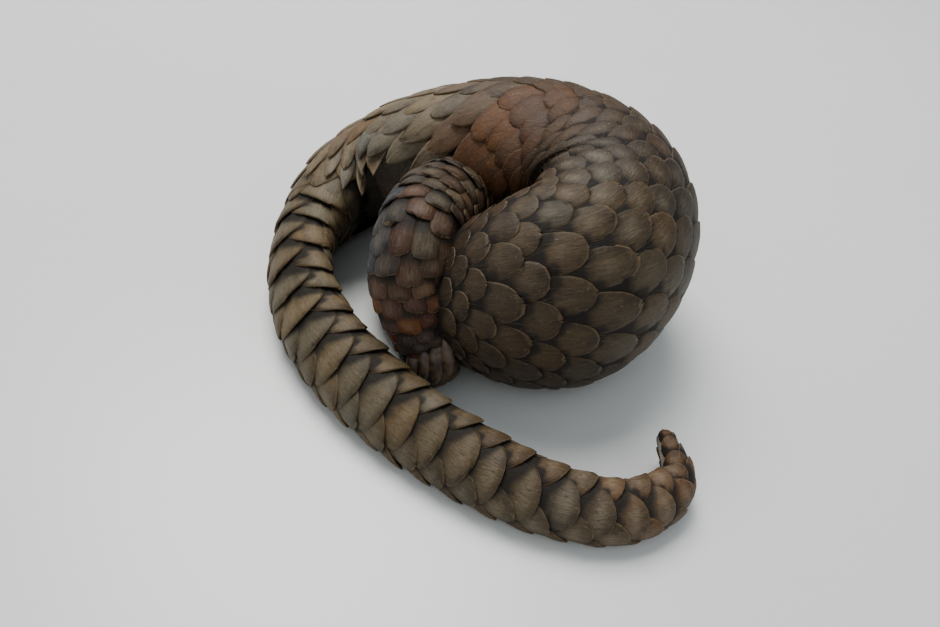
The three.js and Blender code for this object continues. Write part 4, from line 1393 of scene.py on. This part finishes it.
@dataclass(frozen=True)
class HeadRelief:
    """Folds, lids, nostrils and the line of the mouth, as heights on the skin of the head."""

    eye: tuple[float, float] = (0.92, 74.0)
    eye_sunk: float = 2.2
    ear: tuple[float, float] = (1.5, 82.0)
    nostril: tuple[float, float] = (3.1, 1.4)
    mouth: tuple[float, float, float] = (0.05, 0.62, 122.0)

    def nostrils(self) -> np.ndarray:
        """The middles of both nostrils, at the front of the snout.

        Returns:
            Two points.
        """
        centre, along, dorsal, right, _ = BODY.frame(np.array(0.0))
        tip = centre - along * BODY.start_dome * 0.9
        spread, lift = self.nostril
        return np.stack([tip + right * spread + dorsal * lift, tip - right * spread + dorsal * lift])

    def heights(self, points: np.ndarray, length: np.ndarray, angle: np.ndarray) -> np.ndarray:
        """How far the skin of the head rises above its plain oval.

        Around each eye the lids swell as a ring and the skin sinks inside it. The mouth is a
        groove along a line on either side, with a lip above and below. Fine folds run across
        the nape and the cheeks as a sine of the length, wandering with the angle.

        Args:
            points: places on the plain oval.
            length: their lengths along the body.
            angle: their degrees round it.

        Returns:
            Heights in millimetres, nought behind the nape.
        """
        t = BODY.place_at(length)
        rise = np.zeros(points.shape[:-1])
        for sign in (1, -1):
            spot, _, along, across = BODY.axes(self.eye[0], sign * self.eye[1])
            away = points - spot
            ring = np.hypot(away @ along / 1.22, away @ across)
            rise += 1.9 * bell(ring, 5.6, 1.4) - 2.4 * np.exp(-(ring / 3.0) ** 4)
            rise += 0.5 * bell(ring, 9.4, 0.9)
            spot = BODY.axes(self.ear[0], sign * self.ear[1])[0]
            rise += 1.1 * bell(np.linalg.norm(points - spot, axis=-1), 9.5, 1.8)
        for spot in self.nostrils():
            away = np.linalg.norm(points - spot, axis=-1)
            rise += 0.6 * bell(away, 2.6, 0.8) - 2.2 * bell(away, 0.0, 1.5)
        start, end, low = self.mouth
        share = np.clip((t - start) / (end - start), 0, 1)
        off = from_dorsal(angle) - (low + 10 * share)
        within = smooth_step(start - 0.08, start, t) * smooth_step(end + 0.06, end, t)
        rise += within * (0.55 * bell(np.abs(off), 9.0, 4.5) - 1.7 * bell(off, 0.0, 2.6))
        wander = 0.8 * np.sin(np.radians(3 * angle)) + 0.5 * np.sin(np.radians(7 * angle) + 1.0)
        folds = np.sin(length / 1.15 + wander) * smooth_step(50, 90, from_dorsal(angle))
        rise += 0.28 * folds * smooth_step(0.25, 0.8, t)
        return rise * smooth_step(2.2, 1.8, t)


@dataclass
class HeadParts:
    """The eyes and the ears, finer than the solids they take the place of."""

    eye_finish: bpy.types.Material
    ear_finish: bpy.types.Material
    relief: HeadRelief = HeadRelief()
    eye_radius: float = 4.2
    ear_halves: tuple[float, float, float] = (6.0, 8.6, 4.6)
    ear_profile: Table = ((0.02, -1.0), (0.6, -0.8), (0.92, -0.2), (1.0, 0.45), (0.97, 0.8), (0.86, 0.86),
                          (0.72, 0.6), (0.6, 0.1), (0.4, -0.2), (0.02, -0.3))

    def eye(self, sign: int) -> Sheet:
        """A round eye, sunk under its lids.

        Args:
            sign: 1 for the right side and -1 for the left.

        Returns:
            The ball as a closed sheet.
        """
        spot, outward, along, across = BODY.axes(self.relief.eye[0], sign * self.relief.eye[1])
        polar = np.linspace(0.04, np.pi - 0.04, 22)[:, None, None]
        turn = np.linspace(0, 2 * np.pi, 36, endpoint=False)[None, :, None]
        ball = outward * -np.cos(polar) + np.sin(polar) * (along * np.cos(turn) + across * np.sin(turn))
        return tube(spot - outward * self.relief.eye_sunk + self.eye_radius * ball)

    def ear(self, sign: int) -> Sheet:
        """A low cup with a rolled rim, thicker at the back, and a fold inside.

        The profile of the cup is turned round the ear's middle, with its ring rippled inside.

        Args:
            sign: 1 for the right side and -1 for the left.

        Returns:
            The ear as a closed sheet.
        """
        spot, outward, along, across = BODY.axes(self.relief.ear[0], sign * self.relief.ear[1])
        turn = np.linspace(0, 2 * np.pi, 48, endpoint=False)[None, :]
        rows = np.linspace(0, len(self.ear_profile) - 1, 40)
        numbers = np.arange(len(self.ear_profile))
        ring = np.interp(rows, numbers, [row[0] for row in self.ear_profile])[:, None]
        height = np.interp(rows, numbers, [row[1] for row in self.ear_profile])[:, None]
        inside = smooth_step(5.0, 7.0, rows)[:, None]
        ring = ring * (1 + 0.08 * inside * np.cos(3 * turn + 0.6))
        height = height + 0.16 * np.cos(turn) * (ring > 0.5)
        long, wide, tall = self.ear_halves
        points = spot + (along * (long * ring * np.cos(turn))[..., None]
                         + across * (wide * ring * np.sin(turn))[..., None]
                         + outward * (tall * height)[..., None])
        return tube(points)

    def build(self) -> None:
        """Makes both eyes and both ears in the places of their solids."""
        for side, sign in (("right", 1), ("left", -1)):
            piece = make_piece(f"eyeball_{side}", self.eye(sign), self.eye_finish)
            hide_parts(f"eye_{side}")
            piece = make_piece(f"pinna_{side}", self.ear(sign), self.ear_finish)
            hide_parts(f"ear_{side}")


@dataclass
class Hairs:
    """Sparse stiff hairs that stand between the scales of the trunk, as thin flat ribbons."""

    finish: bpy.types.Material
    count: int = 1000
    width: float = 0.16
    reach: tuple[float, float] = (9.0, 16.0)
    stretch: tuple[float, float] = (2.6, 8.2)
    around: tuple[float, float] = (-100.0, 145.0)
    rise: tuple[float, float] = (3.2, 5.2)
    trunk_radius: float = 60.0
    steps: int = 6

    def sheet(self) -> Sheet:
        """Every hair as a strip that rises from the skin, leans back and narrows to its tip.

        A hair rises by the power 0.7 of the share along it and leans aside by the power 1.5.

        Returns:
            The strips as one sheet.
        """
        rng = np.random.default_rng(SEED + 7)
        first, last = (BODY.length_at(t) for t in self.stretch)
        root = first + rng.uniform(0, 1, self.count) * (last - first)
        angle = rng.uniform(*self.around, self.count)
        long = rng.uniform(*self.reach, self.count)[:, None]
        u = np.linspace(0, 1, self.steps)[None, :]
        lean = rng.uniform(-1, 1, (self.count, 1))
        length = root[:, None] + long * u
        turn = angle[:, None] + lean * 9 * u**1.5
        lift = 1.5 + rng.uniform(*self.rise, (self.count, 1)) * u**0.7
        side = np.array([-0.5, 0.5])[None, None, :] * self.width * (1 - 0.8 * u[..., None])
        aside = np.degrees(side / self.trunk_radius)
        points = BODY.spot(length[..., None], turn[..., None] + aside, lift[..., None])
        patch = unwrap("body", BODY, root, angle)[:, None, None, :]
        grow = np.stack(np.broadcast_arrays(u[..., None] - 0.5, side * 0), -1)
        patch = np.broadcast_to(patch + PATCH * grow, points.shape[:-1] + (2,))
        strip = grid_quads(self.steps, 2)
        quads = strip[None] + (np.arange(self.count) * self.steps * 2)[:, None, None]
        return Sheet(points.reshape(-1, 3), quads.reshape(-1, 4), bake=patch.reshape(-1, 2))

    def build(self) -> None:
        """Makes the hairs as one piece."""
        make_piece("hairs", self.sheet(), self.finish)


@dataclass
class Skin:
    """One skin under the whole coat, a little inside the solids."""

    finish: bpy.types.Material
    relief: HeadRelief = HeadRelief()
    depth: float = 0.9
    step: float = 3.0
    head_step: float = 0.9
    sides: int = 144

    def limb_sheet(self, band: str, limb: Limb) -> Sheet:
        """A limb's skin as rings along it, closed at both ends.

        Args:
            band: the limb's name.
            limb: the limb.

        Returns:
            The skin as a closed sheet with its unwrap and tint.
        """
        low, high = -limb.start_dome * 0.998, limb.total + limb.end_dome * 0.998
        rows = int((high - low) / self.step)
        share = np.linspace(0, 1, rows)
        lengths = low + (high - low) * share
        near = np.array([0.0, 0.06, 0.2, 0.45])
        head = np.arange(low, BODY.length_at(2.1), self.head_step) if band == "body" else lengths[:1]
        lengths = np.unique(np.concatenate([
            lengths[lengths > head[-1]], head, low + near * limb.start_dome, high - near * limb.end_dome]))
        angles = np.linspace(0, 360, self.sides, endpoint=False)
        grid_length, grid_angle = np.meshgrid(lengths, angles, indexing="ij")
        rise = np.zeros_like(grid_length)
        if band == "body":
            plain = limb.spot(grid_length, grid_angle, 0.0)
            rise = self.relief.heights(plain, grid_length, grid_angle)
        sheet = tube(limb.spot(grid_length, grid_angle, rise - self.depth))
        ring = np.concatenate([lengths[:1], lengths, lengths[-1:]])
        all_length, all_angle = np.meshgrid(ring, angles, indexing="ij")
        sheet.bake = unwrap(band, limb, all_length.ravel(), all_angle.ravel())
        sheet.tint = skin_tint(band, limb.place_at(all_length.ravel()), all_angle.ravel())
        return sheet

    def build(self) -> None:
        """Makes the skin of the body and of the legs as one piece."""
        sheets = [self.limb_sheet("body", BODY)]
        sheets += [self.limb_sheet(band, limb) for band, limb in LEGS.items()]
        piece = make_piece("skin", Sheet.joined(sheets), self.finish)
        flesh = [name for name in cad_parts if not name.startswith(("eye_", "ear_"))]
        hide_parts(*flesh)


@dataclass(frozen=True)
class Foot:
    """One foot's claws, fanned out round a middle one, in millimetres."""

    name: str
    limb: Limb
    lengths: tuple[float, ...]
    radius: float
    spread: float
    fan: float
    bend: tuple[float, float, float]
    hook: float = 0.45
    shift: tuple[float, float, float] = (0.0, 0.0, 0.0)
    aim: tuple[float, float, float] | None = None

    def claw(self, base: np.ndarray, aim: np.ndarray, length: float, radius: float) -> Sheet:
        """Sweeps an oval section along a parabola and tapers it to a blunt tip.

        Args:
            base: where the claw leaves the toe.
            aim: the direction it sets out in.
            length: how far it reaches past its base.
            radius: half its width there.

        Returns:
            The claw as a closed sheet.
        """
        along = unit(aim)
        side = unit(np.cross(along, np.array(self.bend)))
        lift = np.cross(side, along)
        u = np.linspace(-0.45, 1.0, 18)[:, None, None]
        turn = np.linspace(0, 2 * np.pi, 20, endpoint=False)[None, :, None]
        size = radius * np.clip(1 - np.clip(u, 0, 1) ** 2.4, 0.02, 1) ** 0.62
        centre = base + along * length * u + lift * length * self.hook * np.clip(u, 0, 1) ** 2
        section = side * size * np.cos(turn) - lift * size * 0.8 * np.sin(turn)
        return tube(centre + section)

    def claws(self) -> Sheet:
        """All the claws of the foot as one sheet.

        Returns:
            The claws, side by side from left to right.
        """
        centre, along, dorsal, right, _ = self.limb.frame(np.array(float(self.limb.last)))
        aim = along if self.aim is None else np.array(self.aim)
        middle = centre - dorsal + np.array(self.shift)
        places = np.linspace(-1, 1, len(self.lengths))
        return Sheet.joined([
            self.claw(middle + right * a * self.spread, aim + right * a * self.fan,
                      length, self.radius * (1 - 0.2 * abs(a)))
            for a, length in zip(places, self.lengths)
        ])


FEET = (
    Foot("hindfoot_right", HIND_RIGHT, (9, 14, 19, 17, 10), 5.3, 16.0, 0.12, (0.2, 0.5, -0.8),
         hook=0.16, shift=(-4.0, -7.0, 26.0), aim=(0.12, -0.62, -0.77)),
    Foot("hindfoot_left", HIND_LEFT, (9, 11, 12, 11, 9), 3.0, 7.0, 0.3, (0.0, 0.0, -1.0)),
    Foot("forefoot_right", FORE_RIGHT, (14, 24, 28, 22, 13), 4.0, 8.5, 0.2, (-1.0, -0.6, 0.0)),
    Foot("forefoot_left", FORE_LEFT, (9, 15, 18, 14, 9), 3.0, 6.0, 0.2, (0.0, -0.6, -1.0)),
)


@dataclass
class Stage:
    """The floor, the soft lights and the camera, in metres but for the camera's spot.

    The camera's spot is in millimetres from where the stations are measured.
    """

    focal_pixels: float = 815.0
    picture_width: float = 940.0
    sensor: float = 36.0
    floor_half: float = 2.5
    floor_drop: float = 0.0003
    sky: tuple[float, ...] = (0.86, 0.92, 1.0, 1.0)
    sky_strength: float = 0.5
    camera_spot: tuple[float, float, float] = (-78.0, -432.0, 408.0)
    camera_turn: tuple[tuple[float, ...], ...] = (
        (0.992110881, -0.125363467, 0.0),
        (0.0859959935, 0.680561593, -0.727626695),
        (0.0912178054, 0.721886362, 0.685973317),
    )
    lamps: tuple = (
        ("window", (-0.5, 0.9, 2.0), 1.3, 62.0, (1.0, 0.99, 0.97)),
        ("fill", (1.3, -0.9, 1.5), 1.8, 3.0, (0.94, 0.97, 1.0)),
        ("front", (-0.8, -1.5, 1.3), 1.6, 4.0, (1.0, 0.99, 0.97)),
    )

    def camera(self) -> None:
        """Places the camera by its turn matrix, whose columns are its right, up and back."""
        data = bpy.data.cameras.new("camera")
        data.sensor_width = self.sensor
        data.lens = self.focal_pixels / self.picture_width * self.sensor
        camera = bpy.data.objects.new("camera", data)
        turn = Matrix(self.camera_turn).to_4x4()
        spot = (np.array(self.camera_spot) - REST_POINT) * MM
        camera.matrix_world = Matrix.Translation(spot.tolist()) @ turn
        bpy.context.scene.collection.objects.link(camera)
        bpy.context.scene.camera = camera

    def floor(self, finish: bpy.types.Material) -> None:
        """A wide flat floor just under the animal.

        Args:
            finish: its material.
        """
        side = np.linspace(-self.floor_half, self.floor_half, 9)
        x, y = np.meshgrid(side, side, indexing="ij")
        points = np.stack([x, y, np.full_like(x, -self.floor_drop)], -1).reshape(-1, 3)
        mesh = bpy.data.meshes.new("floor")
        mesh.from_pydata(points.tolist(), [], grid_quads(9, 9).tolist())
        mesh.materials.append(finish)
        floor = bpy.data.objects.new("floor", mesh)
        bpy.context.scene.collection.objects.link(floor)

    def lights(self) -> None:
        """Large soft area lights and a pale sky."""
        for name, spot, size, power, colour in self.lamps:
            lamp = bpy.data.lights.new(name, "AREA")
            lamp.size = size
            lamp.energy = power
            lamp.color = colour
            holder = bpy.data.objects.new(name, lamp)
            aim = np.array(spot)
            back = unit(aim)
            right = unit(np.cross([0.0, 0.0, 1.0], back))
            turn = np.stack([right, np.cross(back, right), back], -1)
            holder.matrix_world = Matrix.Translation(spot) @ Matrix(turn.tolist()).to_4x4()
            bpy.context.scene.collection.objects.link(holder)
        world = bpy.data.worlds.new("studio")
        world.use_nodes = True
        background = world.node_tree.nodes["Background"]
        background.inputs["Color"].default_value = self.sky
        background.inputs["Strength"].default_value = self.sky_strength
        bpy.context.scene.world = world

    def build(self) -> None:
        """Sets the whole stage."""
        self.floor(FloorFinish().make())
        self.lights()
        self.camera()


def main() -> None:
    """Builds the animal piece by piece."""
    logging.basicConfig(level=logging.INFO, format="%(name)s: %(message)s")
    Stage().build()
    horn = HornScaleFinish().make()
    # The bare skin is darkened partly as painted shade for the inside of the curl
    Skin(finish=SkinFinish("bare_skin", "#5f4d40", "#463830", tinted=True).make()).build()
    Coat(finish=horn).build()
    claw_horn = ClawFinish().make()
    for foot in FEET:
        make_piece(f"claws_{foot.name}", foot.claws(), claw_horn)
    HeadParts(eye_finish=EyeFinish().make(),
              ear_finish=SkinFinish("ear_skin", "#7d6556", "#5a463b").make()).build()
    Hairs(finish=HairFinish().make()).build()


if __name__ == "__main__":
    main()
